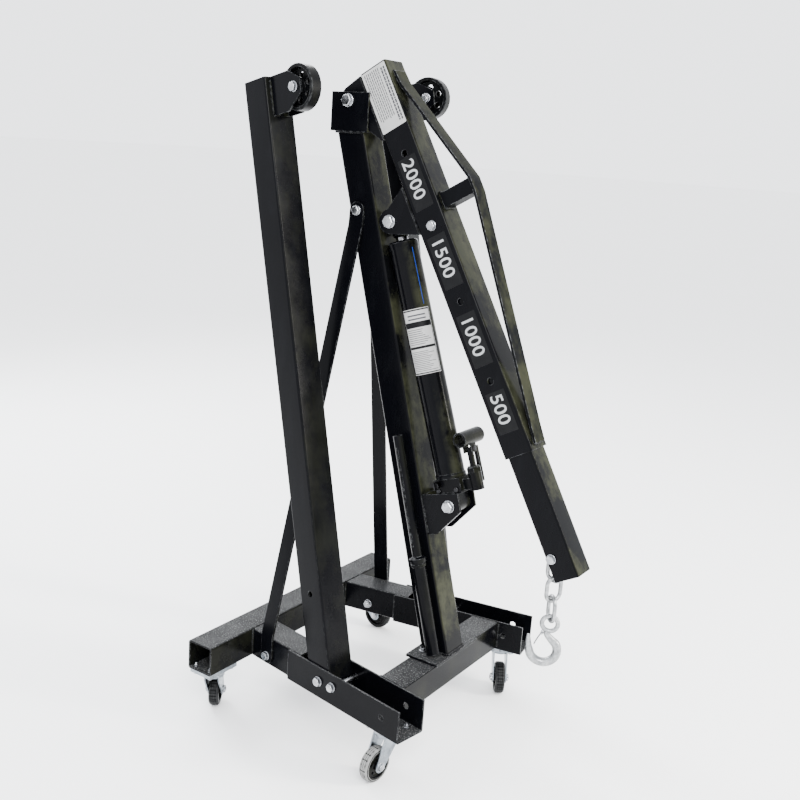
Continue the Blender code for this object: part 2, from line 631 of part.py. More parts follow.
def jack():
    block = box("jack_base", (-0.031, -0.0265, 0.026), (0.036, 0.0265, CYLINDER_START - GAP), JACK, PAINT)
    eye = rod("eye", (0, -0.0285, 0), (0, 0.0285, 0), 0.019, JACK, None, segments=16)
    neck = box("neck", (-0.017, -0.0285, 0), (0.017, 0.0285, 0.030), JACK, None)
    arm = box("arm", (0.030, -0.013, 0.030), (PUMP_X, 0.013, 0.054), JACK, None)
    barrel = rod("barrel", (PUMP_X, 0, 0.026), (PUMP_X, 0, 0.076), 0.0150, JACK, None, segments=20)
    fulcrum = box("fulcrum", (PUMP_X - 0.004, 0.0100, 0.040), (PUMP_X + 0.004, 0.0300, 0.052), JACK, None)
    post = box("post", (PUMP_X - 0.004, 0.0215, 0.040), (PUMP_X + 0.004, 0.0300, SOCKET_UP - 0.0220), JACK, None)
    bore = rod("bore", (PUMP_X, 0, 0.036), (PUMP_X, 0, 0.09), 0.0073, JACK, None)
    fuse(block, eye, neck, arm, barrel, fulcrum, post)
    cut(block, hole_y(0, 0, 0.0083, JACK), bore)
    turned("jack_cylinder", [(0.0285, CYLINDER_END), (CYLINDER_R, CYLINDER_END - 0.003),
                             (CYLINDER_R, CYLINDER_START + 0.003), (0.0300, CYLINDER_START),
                             (0.0140, CYLINDER_START), (0.0140, CYLINDER_END)], JACK, PAINT, steps=24)
    top = JACK_LENGTH
    ram = rod("jack_ram", (0, 0, CYLINDER_START + 0.006), (0, 0, top - 0.017), 0.0135, JACK, GALVANISED, segments=16)
    ram_eye = rod("eye", (0, -0.0275, top), (0, 0.0275, top), 0.0190, JACK, None, segments=16)
    ram_neck = rod("neck", (0, 0, top - 0.034), (0, 0, top - 0.004), 0.0190, JACK, None, segments=16)
    fuse(ram, ram_eye, ram_neck)
    cut(ram, rod("bore", (0, -0.05, top), (0, 0.05, top), RAM_BOLT_R + 2 * GAP, JACK, None))
    rod("pump_plunger", (PUMP_X, 0, 0.0515), (PUMP_X, 0, SOCKET_UP - 0.0225), 0.0070, JACK, ZINC, segments=20)
    pump_socket()
    valve = rod("release_valve", (-0.020, -0.0268, 0.0495), (-0.020, -0.0400, 0.0495), 0.0075, JACK, ZINC, segments=16)
    wing = box("wing", (-0.0215, -0.0460, 0.0405), (-0.0185, -0.0370, 0.0585), JACK, None)
    fuse(valve, wing)


def pump_socket():
    """The short tube that takes the pump handle, open towards the near side."""
    frame = JACK @ Matrix.Translation((PUMP_X, 0, SOCKET_UP)) @ ALONG_Y
    profile = [(0.0170, 0.046), (0.0170, -0.034), (0.0130, -0.034), (0.0130, 0.046)]
    turned("pump_socket", profile, frame, PAINT, steps=24)


# ---------------------------------------------------------------- chain and hook

def chain_link(name, centre, inside, facing):
    """An oval link, inside being its inner height, whose loop stands upright and faces the given angle about Z."""
    half = inside / 2 - LINK_WIDTH / 2
    ring = LINK_WIDTH / 2 + LINK_WIRE
    upper = [(ring * cos(radians(a)), half + ring * sin(radians(a))) for a in range(0, 181, 30)]
    lower = [(ring * cos(radians(a)), -half + ring * sin(radians(a))) for a in range(180, 361, 30)]
    return wire(name, upper + lower, centre, facing)


def wire(name, loop, centre, facing):
    curve = bpy.data.curves.new(name, "CURVE")
    curve.dimensions = "3D"
    curve.bevel_depth = LINK_WIRE
    curve.bevel_resolution = 1
    spline = curve.splines.new("POLY")
    spline.points.add(len(loop) - 1)
    for point, (across, up) in zip(spline.points, loop):
        point.co = (across, 0, up, 1)
    spline.use_cyclic_u = True
    made = bpy.data.objects.new(name, curve)
    PARTS.objects.link(made)
    curve.materials.append(GALVANISED)
    made.matrix_world = Matrix.Translation(centre) @ Matrix.Rotation(radians(facing), 4, "Z")
    return made


def hook(centre, facing):
    """A cast hook: an eye ring, a neck and a bowl that tapers and flares to its tip."""
    frame = Matrix.Translation(centre) @ Matrix.Rotation(radians(facing), 4, "Z")
    curve = bpy.data.curves.new("hook", "CURVE")
    curve.dimensions = "3D"
    curve.bevel_depth = 0.001
    curve.bevel_resolution = 2
    curve.use_fill_caps = True
    bowl_x, bowl_z, bowl_r = BOWL
    points = [(-0.0080, -0.0185, 5.5), (-0.0020, -0.0280, 7.0), (0.0085, -0.0385, 8.6)]
    for angle in range(30, -221, -25):
        taper = max(-150 - angle, 0) / 70
        flare = max(-170 - angle, 0) / 50
        reach = bowl_r + 0.014 * flare ** 2
        spin = radians(angle)
        points.append((bowl_x + reach * cos(spin), bowl_z + reach * sin(spin), 9.8 - 5.8 * taper ** 2))
    spline = curve.splines.new("POLY")
    spline.points.add(len(points) - 1)
    for point, (x, z, thick) in zip(spline.points, points):
        point.co = (x, 0, z, 1)
        point.radius = thick
    drawn = bpy.data.objects.new("hook_line", curve)
    SCENE.collection.objects.link(drawn)
    bpy.context.view_layer.update()
    graph = bpy.context.evaluated_depsgraph_get()
    mesh = bpy.data.meshes.new_from_object(drawn.evaluated_get(graph))
    bpy.data.objects.remove(drawn)
    bm = bmesh.new()
    bm.from_mesh(mesh)
    bmesh.ops.remove_doubles(bm, verts=bm.verts, dist=0.00001)
    bmesh.ops.recalc_face_normals(bm, faces=bm.faces)
    body = from_bmesh("hook", bm, frame, GALVANISED, smooth=True)
    ring = circle(HOOK_EYE + HOOK_WIRE, 0, HOOK_WIRE, 8)
    eye = turned("eye", ring, frame @ ALONG_Y, None, steps=16)
    fuse(body, eye)
    hinge = frame @ Matrix.Translation((LATCH_HINGE[0], 0, LATCH_HINGE[1])) @ Matrix.Rotation(LATCH_LEAN, 4, "Y")
    box("hook_latch", (-0.0010, -0.0060, -LATCH_LENGTH), (0.0010, 0.0060, 0), hinge, ZINC)


def hanging_parts():
    """Three links hung one in the other from the hook bolt, and the hook in the last."""
    bolt_at = BOOM @ Vector((HOOK_BOLT[0], 0, HOOK_BOLT[1]))
    top = bolt_at.z + HOOK_BOLT_R + GAP
    for number, facing in LINK_TURN.items():
        inside = TOP_LINK_INSIDE if number == 1 else LINK_INSIDE
        chain_link("chain_link_%d" % number, (bolt_at.x, 0, top - inside / 2), inside, facing)
        top += LINK_SLACK - inside
    hook((bolt_at.x, 0, top - LINK_SLACK + GAP - HOOK_EYE), HOOK_TURN)


def build():
    rear_crossbar()
    front_crossbar()
    foot_plate()
    mast()
    brace_top_bolt()
    for word, side in SIDES.items():
        rail(word, side)
        brace(word, side)
        leg(word, side)
        leg_wheel_parts(word, side)
    casters()
    pump_handle()
    boom()
    ram_bolt()
    jack_bracket()
    jack()
    hanging_parts()


build()
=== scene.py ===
"""Folding engine hoist: materials, fine parts, labels, floor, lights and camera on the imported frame."""
from math import asin, cos, pi, radians, sin

import bmesh
import bpy
from mathutils import Matrix, Vector


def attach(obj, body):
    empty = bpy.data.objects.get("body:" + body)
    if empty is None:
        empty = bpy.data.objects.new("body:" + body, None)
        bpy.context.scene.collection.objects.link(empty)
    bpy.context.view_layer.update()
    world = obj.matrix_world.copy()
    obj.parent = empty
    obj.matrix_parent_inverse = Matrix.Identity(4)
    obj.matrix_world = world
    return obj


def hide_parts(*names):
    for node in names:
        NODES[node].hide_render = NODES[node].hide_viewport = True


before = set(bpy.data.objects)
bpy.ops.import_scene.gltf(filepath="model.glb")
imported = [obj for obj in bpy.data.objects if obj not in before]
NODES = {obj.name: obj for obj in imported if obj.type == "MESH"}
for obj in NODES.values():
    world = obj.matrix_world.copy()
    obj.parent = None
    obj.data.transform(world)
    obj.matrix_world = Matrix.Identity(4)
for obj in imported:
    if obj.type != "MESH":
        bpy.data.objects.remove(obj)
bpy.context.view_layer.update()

# The driving sizes of the CAD model, in metres and radians. The base and the tubes:
TUBE = 0.070
HALF = TUBE / 2
WALL = 0.004
GAP = 0.0003
BAR_REAR_X = -0.381
BAR_FRONT_X = -0.311
FRONT_BAR_X = 0.0434
RAIL_TOP = 0.188
RAIL_START_Y = 0.2146
SPLAY = radians(9.34)
CHANNEL_START = 0.1333
CHANNEL_INNER = 0.0357
CHANNEL_OUTER = CHANNEL_INNER + WALL
CHANNEL_FLOOR = RAIL_TOP - TUBE - GAP
SIDES = {"near": -1, "far": 1}

# The legs; S runs along a rail, from the rear crossbar's front face
PIVOT_S = 0.2358
PIVOT_Z = 0.154
LEG_LEAN = {-1: radians(13.07), 1: radians(10.2)}
LEG_WHEEL_UP = 1.264
LEG_WHEEL_R = 0.047
LEG_WHEEL_X = PIVOT_Z - LEG_WHEEL_R
LOCK_S = 0.2787
LOCK_Z = 0.158
LEG_BRACKET_HALF = 0.0210

# The mast and its braces; pairs are X and Z
MAST_FOOT_X = 0.080
MAST_LEAN = radians(15.55)
MAST_TOP_Z = 1.3297
CLEVIS_X = -0.238
CLEVIS_HALF = 0.0413
FOOT_PLATE_THICK = 0.006
BRACE_TOP = (-0.205, 1.163)
BRACE_LOW = (0.057, 0.143)
BRACE_THICK = 0.005

# The boom; its pivot, ram and hook bolts are (along, up) from its rear end
BOOM_REAR = (-0.189, 1.465)
BOOM_DROP = radians(60.6)
BOOM_PIVOT = (0.0345, -0.0814)
RAM_PIVOT = (0.312, -0.0956)
ADJUST_AT = 0.364
INNER_HALF = 0.030
HOOK_BOLT = (1.106, -0.017)

# The jack; heights are along it, from its base bolt
JACK_PIVOT = (0.086, 0.545)
CYLINDER_R = 0.0325
CYLINDER = (0.060, 0.591)
PUMP_X = 0.062
SOCKET_UP = 0.142
SOCKET_LUG_UP = SOCKET_UP - 0.0245

# The chain and the hook; turns are about the plumb line, in degrees
LINK_WIRE = 0.0044
TOP_LINK_INSIDE = 0.0605
LINK_INSIDE = 0.0465
LINK_WIDTH = 0.027
LINK_SLACK = 0.001
LINK_TURN = {1: 0, 2: 62, 3: -44}
HOOK_TURN = 24
HOOK_EYE = 0.012
HOOK_WIRE = 0.005
LATCH_HINGE = (-0.0150, -0.0215)
LATCH_LEAN = 0.47
BOWL = (-0.0092, -0.0612, 0.030)

# The casters; turns are in degrees
CASTER_R = 0.0385
CASTER_TRAIL = 0.035
REAR_CASTER_Y = 0.306
FRONT_CASTER_S = 0.415
CASTER_TURN = {"near_rear": 123.4, "far_rear": 0.0, "near_front": 263.4, "far_front": -56.6}
PLATE_LOW = 0.1085
PLATE_BOLT_X = 0.034
PLATE_BOLT_Y = 0.022
FORK_HALF = 0.0175
SWIVEL_NUT_Z = 0.0922

# Bolt radii, and a washer's thickness
SCREW_R = 0.0034
FOOT_BOLT_R = 0.0050
BOLT_R = 0.0060
LEG_PIVOT_R = 0.0062
BOOM_PIVOT_R = 0.0078
HEAVY_BOLT_R = 0.0080
WASHER_THICK = 0.0015

# How far a label lies off its face, and how thick printed film is
SKIN = 0.0003
FILM = 0.00012

WORLD = Matrix.Identity(4)


def in_plane(pair):
    """The point on the centre plane with this X and Z."""
    return Vector((pair[0], 0, pair[1]))


def tipped(origin, angle):
    """A frame at origin whose x axis is tipped up by angle in the XZ plane."""
    return Matrix.Translation(origin) @ Matrix.Rotation(-angle, 4, "Y")


def rail_frame(side):
    """The frame of a rail: x along it, y across it, at floor level."""
    x = BAR_FRONT_X + HALF * sin(SPLAY)
    y = side * (RAIL_START_Y - HALF * cos(SPLAY))
    return Matrix.Translation((x, y, 0)) @ Matrix.Rotation(side * SPLAY, 4, "Z")


def leg_frame(side):
    """The frame of a folded leg: its pivot bolt is the origin and z runs up the tube."""
    return rail_frame(side) @ tipped((PIVOT_S, 0, PIVOT_Z), LEG_LEAN[side])


MAST = tipped((MAST_FOOT_X, 0, RAIL_TOP), MAST_LEAN)
BOOM = tipped(in_plane(BOOM_REAR), -BOOM_DROP)
JACK_REACH = BOOM @ in_plane(RAM_PIVOT) - in_plane(JACK_PIVOT)
JACK_LENGTH = JACK_REACH.length
JACK = tipped(in_plane(JACK_PIVOT), asin(-JACK_REACH.x / JACK_LENGTH))
JACK_FOOT = MAST.inverted() @ in_plane(JACK_PIVOT)


# ---------------------------------------------------------------- materials

class Tree:
    """A material's node tree with short calls to add and join nodes."""

    def __init__(self, name):
        self.material = bpy.data.materials.new(name)
        self.material.use_nodes = True
        self.nodes = self.material.node_tree.nodes
        self.links = self.material.node_tree.links
        self.shader = self.nodes["Principled BSDF"]
        self.coords = self.nodes.new("ShaderNodeTexCoord").outputs["Object"]

    def put(self, socket, value):
        if isinstance(value, bpy.types.NodeSocket):
            self.links.new(value, socket)
        else:
            socket.default_value = value

    def noise(self, scale, detail=3.0, roughness=0.55, stretch=None):
        node = self.nodes.new("ShaderNodeTexNoise")
        node.inputs["Scale"].default_value = scale
        node.inputs["Detail"].default_value = detail
        node.inputs["Roughness"].default_value = roughness
        self.links.new(self.stretched(stretch), node.inputs["Vector"])
        return node.outputs["Fac"]

    def stretched(self, stretch):
        if stretch is None:
            return self.coords
        node = self.nodes.new("ShaderNodeMapping")
        node.inputs["Scale"].default_value = stretch
        self.links.new(self.coords, node.inputs["Vector"])
        return node.outputs["Vector"]

    def cells(self, scale):
        node = self.nodes.new("ShaderNodeTexVoronoi")
        node.inputs["Scale"].default_value = scale
        self.links.new(self.coords, node.inputs["Vector"])
        return node

    def range(self, value, low, high, out_low=0.0, out_high=1.0):
        node = self.nodes.new("ShaderNodeMapRange")
        node.clamp = True
        self.put(node.inputs["Value"], value)
        node.inputs["From Min"].default_value = low
        node.inputs["From Max"].default_value = high
        node.inputs["To Min"].default_value = out_low
        node.inputs["To Max"].default_value = out_high
        return node.outputs["Result"]

    def maths(self, kind, first, second):
        node = self.nodes.new("ShaderNodeMath")
        node.operation = kind
        node.use_clamp = kind != "SUBTRACT"
        self.put(node.inputs[0], first)
        self.put(node.inputs[1], second)
        return node.outputs[0]

    def mix(self, amount, first, second):
        node = self.nodes.new("ShaderNodeMix")
        node.data_type = "RGBA"
        self.put(node.inputs["Factor"], amount)
        self.put(node.inputs[6], first)
        self.put(node.inputs[7], second)
        return node.outputs[2]

    def bump(self, height, strength, distance):
        node = self.nodes.new("ShaderNodeBump")
        node.inputs["Strength"].default_value = strength
        node.inputs["Distance"].default_value = distance
        self.links.new(height, node.inputs["Height"])
        self.links.new(node.outputs["Normal"], self.shader.inputs["Normal"])

    def edges(self, radius, low, high):
        """1 along edges, where a rounded normal leaves the surface's own."""
        rounded = self.nodes.new("ShaderNodeBevel")
        rounded.samples = 4
        rounded.inputs["Radius"].default_value = radius
        surface = self.nodes.new("ShaderNodeNewGeometry")
        dot = self.nodes.new("ShaderNodeVectorMath")
        dot.operation = "DOT_PRODUCT"
        self.links.new(rounded.outputs["Normal"], dot.inputs[0])
        self.links.new(surface.outputs["Normal"], dot.inputs[1])
        return self.range(dot.outputs["Value"], high, low)

    def part(self, source, axis):
        node = self.nodes.new("ShaderNodeSeparateXYZ")
        self.links.new(source, node.inputs[0])
        return node.outputs[axis]

    def upward(self):
        """1 on faces that look up at rest."""
        coords = self.nodes.new("ShaderNodeTexCoord")
        return self.range(self.part(coords.outputs["Normal"], "Z"), 0.55, 0.9)

    def finish(self, colour, roughness, metallic=0.0, specular=0.5):
        self.put(self.shader.inputs["Base Color"], colour)
        self.put(self.shader.inputs["Roughness"], roughness)
        self.shader.inputs["Metallic"].default_value = metallic
        self.shader.inputs["Specular IOR Level"].default_value = specular
        return self.material


def rgb(r, g, b):
    return (r, g, b, 1.0)


def paint(name, base, wear, dust, gloss=(0.13, 0.24), painted_reflection_strength=1.0, shine=0.05):
    """Gloss black paint: orange peel, a painted olive reflection on forward faces, chips and dust on top faces.
    """
    tree = Tree(name)
    coords = tree.nodes.new("ShaderNodeTexCoord").outputs["Normal"]
    # Painted reflection: faces turned towards +X get an olive reflection painted into their colour, in noisy
    # bands, scaled per material.
    forward = tree.range(tree.part(coords, "X"), 0.45, 0.90)
    bands = tree.range(tree.noise(10.0, 5.0, 0.68, (1.0, 1.0, 0.8)), 0.44, 0.60, 0.03, 1.0)
    painted_reflection_mask = tree.maths("MULTIPLY", tree.maths("MULTIPLY", forward, bands), painted_reflection_strength)
    colour = tree.mix(painted_reflection_mask, rgb(*base), rgb(0.0215, 0.0225, 0.0130))
    smear = tree.range(tree.noise(30.0, 5.0, 0.62, (1.0, 1.0, 0.35)), 0.52, 0.80, 0.0, 0.30)
    colour = tree.mix(smear, colour, rgb(0.0060, 0.0065, 0.0080))
    chips = tree.range(tree.noise(95.0, 4.0, 0.7), 0.44, 0.60)
    worn = tree.maths("MULTIPLY", tree.edges(0.0018, 0.90, 0.985), chips)
    worn = tree.maths("MULTIPLY", worn, wear)
    colour = tree.mix(worn, colour, rgb(0.16, 0.165, 0.17))
    specks = tree.range(tree.noise(330.0, 2.0, 0.5), 0.57, 0.66, 0.0, 0.8)
    film = tree.range(tree.noise(9.0, 4.0, 0.6), 0.35, 0.70, 0.25, 0.95)
    settled = tree.maths("MULTIPLY", tree.upward(), dust)
    colour = tree.mix(tree.maths("MULTIPLY", settled, film), colour, rgb(0.030, 0.031, 0.032))
    colour = tree.mix(tree.maths("MULTIPLY", settled, specks), colour, rgb(0.16, 0.16, 0.16))
    rough = tree.range(tree.noise(14.0, 4.0, 0.6), 0.3, 0.7, *gloss)
    rough = tree.maths("ADD", rough, tree.maths("MULTIPLY", settled, 0.3))
    tree.bump(tree.noise(330.0, 2.0, 0.5), 0.10, 0.0002)
    return tree.finish(colour, rough, 0.0, shine)


def plated(name, base, shade, roughness, spangle=None):
    """Zinc plate with handling marks, or hot-dip zinc with spangle."""
    tree = Tree(name)
    cloud = tree.range(tree.noise(60.0, 4.0, 0.65), 0.35, 0.7)
    colour = tree.mix(cloud, rgb(*base), rgb(*shade))
    rough = tree.range(tree.noise(110.0, 3.0, 0.6), 0.3, 0.7, roughness - 0.07, roughness + 0.12)
    height = tree.noise(700.0, 2.0, 0.5)
    if spangle:
        crystal = tree.cells(spangle)
        tone = tree.range(tree.part(crystal.outputs["Color"], "X"), 0.0, 1.0, 0.0, 0.45)
        colour = tree.mix(tone, colour, rgb(*shade))
        height = crystal.outputs["Distance"]
    rust = tree.range(tree.noise(34.0, 5.0, 0.7), 0.66, 0.78, 0.0, 0.5)
    colour = tree.mix(rust, colour, rgb(0.11, 0.095, 0.075))
    tree.bump(height, 0.12, 0.0002)
    return tree.finish(colour, rough, 1.0, 0.5)


def rubber(name, base, scuff, scuff_amount):
    """A tyre's rubber, scuffed in patches."""
    tree = Tree(name)
    marks = tree.range(tree.noise(70.0, 5.0, 0.68), 0.45, 0.72, 0.0, scuff_amount)
    colour = tree.mix(marks, rgb(*base), rgb(*scuff))
    rough = tree.range(tree.noise(190.0, 3.0, 0.6), 0.3, 0.7, 0.58, 0.82)
    tree.bump(tree.noise(650.0, 3.0, 0.6), 0.30, 0.0003)
    return tree.finish(colour, rough, 0.0, 0.15)


def sticker(name, base, tint):
    """Coated paper with faint handling marks and lifted fibres."""
    tree = Tree(name)
    marks = tree.range(tree.noise(45.0, 5.0, 0.65), 0.5, 0.8, 0.0, 0.55)
    colour = tree.mix(marks, rgb(*base), rgb(*tint))
    rough = tree.range(tree.noise(160.0, 3.0, 0.5), 0.3, 0.7, 0.34, 0.5)
    tree.bump(tree.noise(1200.0, 2.0, 0.5), 0.06, 0.0001)
    return tree.finish(colour, rough, 0.0, 0.10)


def floor_material():
    """A matt, nearly white floor."""
    tree = Tree("pale_floor")
    tone = tree.noise(0.8, 3.0, 0.5)
    colour = tree.mix(tone, rgb(0.93, 0.93, 0.93), rgb(0.95, 0.95, 0.95))
    return tree.finish(colour, 0.9, 0.0, 0.1)


BLACK = (0.0012, 0.0013, 0.0019)
# The number after a paint's gloss pair is the strength of its painted olive reflection on +X-facing faces.
PAINT = paint("black_paint_scene", BLACK, 0.55, 0.0)
LEG_PAINT = paint("black_paint_legs", BLACK, 0.7, 0.0, painted_reflection_strength=0.16)
BASE_PAINT = paint("black_paint_base", BLACK, 0.85, 0.85, painted_reflection_strength=0.25)
STRAP_PAINT = paint("charcoal_strap_paint", (0.0030, 0.0032, 0.0038), 0.9, 0.15, (0.30, 0.45), 0.9, shine=0.012)
WELD = paint("painted_weld", (0.0018, 0.0019, 0.0023), 0.4, 0.25, (0.16, 0.30), 0.4)
CAST = paint("cast_block_paint", (0.0016, 0.0017, 0.0021), 0.6, 0.1, (0.18, 0.34), 0.4)
ZINC = plated("zinc_plate_scene", (0.44, 0.45, 0.47), (0.17, 0.175, 0.185), 0.24)
DULL_ZINC = plated("zinc_caster_plate", (0.30, 0.33, 0.36), (0.13, 0.145, 0.165), 0.30)
GALVANISED = plated("galvanised_scene", (0.46, 0.47, 0.475), (0.17, 0.175, 0.18), 0.34, 300.0)
RAM_STEEL = plated("ground_ram", (0.22, 0.22, 0.23), (0.13, 0.13, 0.135), 0.20)
DARK_STEEL = plated("dark_steel", (0.030, 0.030, 0.032), (0.012, 0.012, 0.013), 0.30)
RUBBER = rubber("dark_tyre", (0.010, 0.0105, 0.011), (0.045, 0.045, 0.045), 0.5)
PALE_TYRE = rubber("pale_tyre", (0.20, 0.20, 0.195), (0.085, 0.085, 0.085), 0.8)
HUB = paint("hub_black", (0.0018, 0.0019, 0.0022), 0.35, 0.0, (0.22, 0.38), 0.2)
WHITE_LABEL = sticker("white_label", (0.34, 0.34, 0.335), (0.26, 0.26, 0.255))
GREY_INK = sticker("grey_ink", (0.040, 0.040, 0.045), (0.07, 0.07, 0.07))
BLACK_INK = sticker("black_ink", (0.0020, 0.0021, 0.0026), (0.0060, 0.0062, 0.0068))
PALE_INK = sticker("pale_ink", (0.30, 0.305, 0.31), (0.20, 0.205, 0.21))
BLUE_LINE = sticker("blue_line", (0.012, 0.036, 0.20), (0.008, 0.022, 0.12))


# ---------------------------------------------------------------- mesh code

def add_lathe(bm, profile, where, steps=32, closed=False, wobble=None):
    """Spins (radius, height) points round the frame's z axis; an open profile is capped at both ends."""
    rings = []
    for k in range(steps):
        angle = 2 * pi * k / steps
        ring = []
        for index, (radius, height) in enumerate(profile):
            reach = radius + (wobble(k, index) if wobble else 0.0)
            ring.append(bm.verts.new(where @ Vector((reach * cos(angle), reach * sin(angle), height))))
        rings.append(ring)
    count = len(profile)
    last = count if closed else count - 1
    for k in range(steps):
        first = rings[k]
        second = rings[(k + 1) % steps]
        for i in range(last):
            j = (i + 1) % count
            bm.faces.new((first[i], second[i], second[j], first[j]))
    if not closed:
        bm.faces.new([ring[0] for ring in rings][::-1])
        bm.faces.new([ring[-1] for ring in rings])


def add_path(bm, points, radii, where=WORLD, sides=12, closed=False, flat=1.0, side_axis=(0, 1, 0)):
    """A round or flattened bar swept along points; radii is one number or one for each point."""
    points = [Vector(p) for p in points]
    if not isinstance(radii, (list, tuple)):
        radii = [radii] * len(points)
    total = len(points)
    rings = []
    for k, point in enumerate(points):
        before = points[(k - 1) % total] if closed else points[max(k - 1, 0)]
        after = points[(k + 1) % total] if closed else points[min(k + 1, total - 1)]
        along = (after - before).normalized()
        across = Vector(side_axis)
        across = (across - along * across.dot(along)).normalized()
        other = along.cross(across)
        ring = []
        for n in range(sides):
            angle = 2 * pi * n / sides
            offset = across * (cos(angle) * radii[k]) + other * (sin(angle) * radii[k] * flat)
            ring.append(bm.verts.new(where @ (point + offset)))
        rings.append(ring)
    spans = total if closed else total - 1
    for k in range(spans):
        first = rings[k]
        second = rings[(k + 1) % total]
        for n in range(sides):
            m = (n + 1) % sides
            bm.faces.new((first[n], first[m], second[m], second[n]))
    if not closed:
        bm.faces.new(rings[0][::-1])
        bm.faces.new(rings[-1])


def add_block(bm, low, high, where=WORLD, bevel=0.0008):
    """A plate or block with rounded edges."""
    made = bmesh.ops.create_cube(bm, size=1.0)
    verts = made["verts"]
    size = Vector(high) - Vector(low)
    middle = (Vector(high) + Vector(low)) / 2
    for vert in verts:
        vert.co = Vector(c * s for c, s in zip(vert.co, size)) + middle
    edges = list({edge for vert in verts for edge in vert.link_edges})
    rounded = bmesh.ops.bevel(bm, geom=edges, offset=bevel, segments=2, profile=0.6, affect="EDGES")
    for vert in rounded["verts"]:
        vert.co = where @ vert.co


def add_bead(bm, start, end, radius=0.0028, where=WORLD):
    """A weld bead: overlapping ripples from start to end."""
    start = Vector(start)
    run = Vector(end) - start
    pitch = 0.0011
    count = max(int(run.length / pitch), 4)
    points = []
    radii = []
    for k in range(count + 1):
        t = k / count
        ripple = 1 + 0.16 * abs(sin(k * 1.05)) + 0.07 * sin(k * 0.37 + start.x * 90)
        points.append(start + run * t)
        radii.append(radius * ripple * (0.55 if k in (0, count) else 1.0))
    side_axis = (0, 0, 1) if abs(run.normalized().z) < 0.7 else (1, 0, 0)
    add_path(bm, points, radii, where, sides=8, side_axis=side_axis)


def piece(name, bm, material, body, replaced=(), smooth=35):
    """Makes the object, gives it its material and fixes it to its body."""
    bmesh.ops.recalc_face_normals(bm, faces=bm.faces)
    mesh = bpy.data.meshes.new(name)
    bm.to_mesh(mesh)
    bm.free()
    mesh.shade_smooth()
    mesh.set_sharp_from_angle(angle=radians(smooth))
    mesh.materials.append(material)
    made = bpy.data.objects.new(name, mesh)
    bpy.context.scene.collection.objects.link(made)
    if replaced:
        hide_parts(*replaced)
    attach(made, body)
    return made


def facing(where, x, y, z, sign):
    """A frame on a bolt's axis at (x, y, z) whose z axis points along sign * y."""
    return where @ Matrix.Translation((x, y, z)) @ Matrix.Rotation(-sign * pi / 2, 4, "X")


def add_washer(bm, seat, inner, outer, thick):
    """A flat ring whose outer top edge is broken."""
    profile = [(inner, 0), (outer, 0), (outer, thick * 0.7), (outer - thick * 0.4, thick)]
    add_lathe(bm, profile + [(inner, thick)], seat, 28, closed=True)


def add_hex(bm, seat, across, start, height):
    """A hexagon head or nut with both ends chamfered."""
    chamfer = height * 0.14
    profile = [(across * 0.93, start), (across, start + chamfer), (across, start + height - chamfer)]
    profile += [(across * 0.90, start + height)]
    add_lathe(bm, profile, seat, 6)
    add_lathe(bm, [(across * 0.84, start + height - 0.0002), (across * 0.80, start + height + 0.0004)], seat, 24)


def add_thread(bm, seat, radius, start, length):
    """The threaded end of a bolt."""
    turns = max(int(length / 0.0012), 2)
    profile = []
    for k in range(turns):
        low = start + length * k / turns
        profile += [(radius * 0.93, low), (radius, low + length * 0.5 / turns)]
    profile += [(radius * 0.85, start + length)]
    add_lathe(bm, profile, seat, 20)


def add_head(bm, seat, radius, washer=True, height=1.05):
    """A hexagon for a bolt of this radius, on a washer; height is a multiple of the radius."""
    rise = WASHER_THICK if washer else 0.0
    if washer:
        add_washer(bm, seat, radius * 0.9, radius * 1.80, rise)
    add_hex(bm, seat, radius * 1.66, rise, radius * height)


def add_nut(bm, seat, radius):
    """A nut on a washer, with the end of its bolt."""
    height = 1.1
    add_head(bm, seat, radius, height=height)
    add_thread(bm, seat, radius, WASHER_THICK + radius * height, 0.0035)


def through_bolt(name, where, x, z, head_y, nut_y, radius, body, replaced=(), material=ZINC):
    """A bolt with washers, its head at head_y and its nut at nut_y."""
    out = 1 if head_y > nut_y else -1
    bm = bmesh.new()
    add_head(bm, facing(where, x, head_y, z, out), radius)
    add_nut(bm, facing(where, x, nut_y, z, -out), radius)
    shank = [(x, head_y, z), (x, nut_y, z)]
    add_path(bm, shank, radius * 0.98, where, sides=20, side_axis=(1, 0, 0))
    return piece(name, bm, material, body, replaced)


# ---------------------------------------------------------------- CAD nodes

def dress_nodes():
    """Materials, rounded edges and smooth shading on the CAD nodes."""
    zinc_words = ("bolt", "axle", "hook_latch")
    base_nodes = {"rear_crossbar", "front_crossbar", "mast_foot_plate"}
    for name, node in NODES.items():
        material = PAINT
        if name in base_nodes or name.endswith("rail_stub") or name.endswith("leg_channel"):
            material = BASE_PAINT
        elif name in ("near_leg", "far_leg", "pump_handle") or name.endswith("_brace"):
            material = LEG_PAINT
        elif name == "boom_truss":
            material = STRAP_PAINT
        elif name in ("jack_base", "pump_socket", "pump_plunger"):
            material = CAST
        elif name.endswith("wheel"):
            material = HUB
        elif name.endswith("caster_plate") or name.endswith("caster_fork"):
            material = DULL_ZINC
        elif name.startswith("chain_link") or name == "hook":
            material = GALVANISED
        elif name == "release_valve":
            material = DARK_STEEL
        elif any(word in name for word in zinc_words):
            material = ZINC
        mesh = node.data
        mesh.materials.clear()
        mesh.materials.append(material)
        for attribute in list(mesh.attributes):
            if attribute.name == "custom_normal":
                mesh.attributes.remove(attribute)
        mesh.shade_smooth()
        mesh.set_sharp_from_angle(angle=radians(32))
        weld = node.modifiers.new("join", "WELD")
        weld.merge_threshold = 0.00001
        edge = node.modifiers.new("edge", "BEVEL")
        edge.width = 0.0006
        edge.segments = 2
        edge.limit_method = "ANGLE"
        edge.angle_limit = radians(50)
        edge.use_clamp_overlap = True
        flat = node.modifiers.new("flat", "WEIGHTED_NORMAL")
        flat.keep_sharp = True


# ---------------------------------------------------------------- fastenings

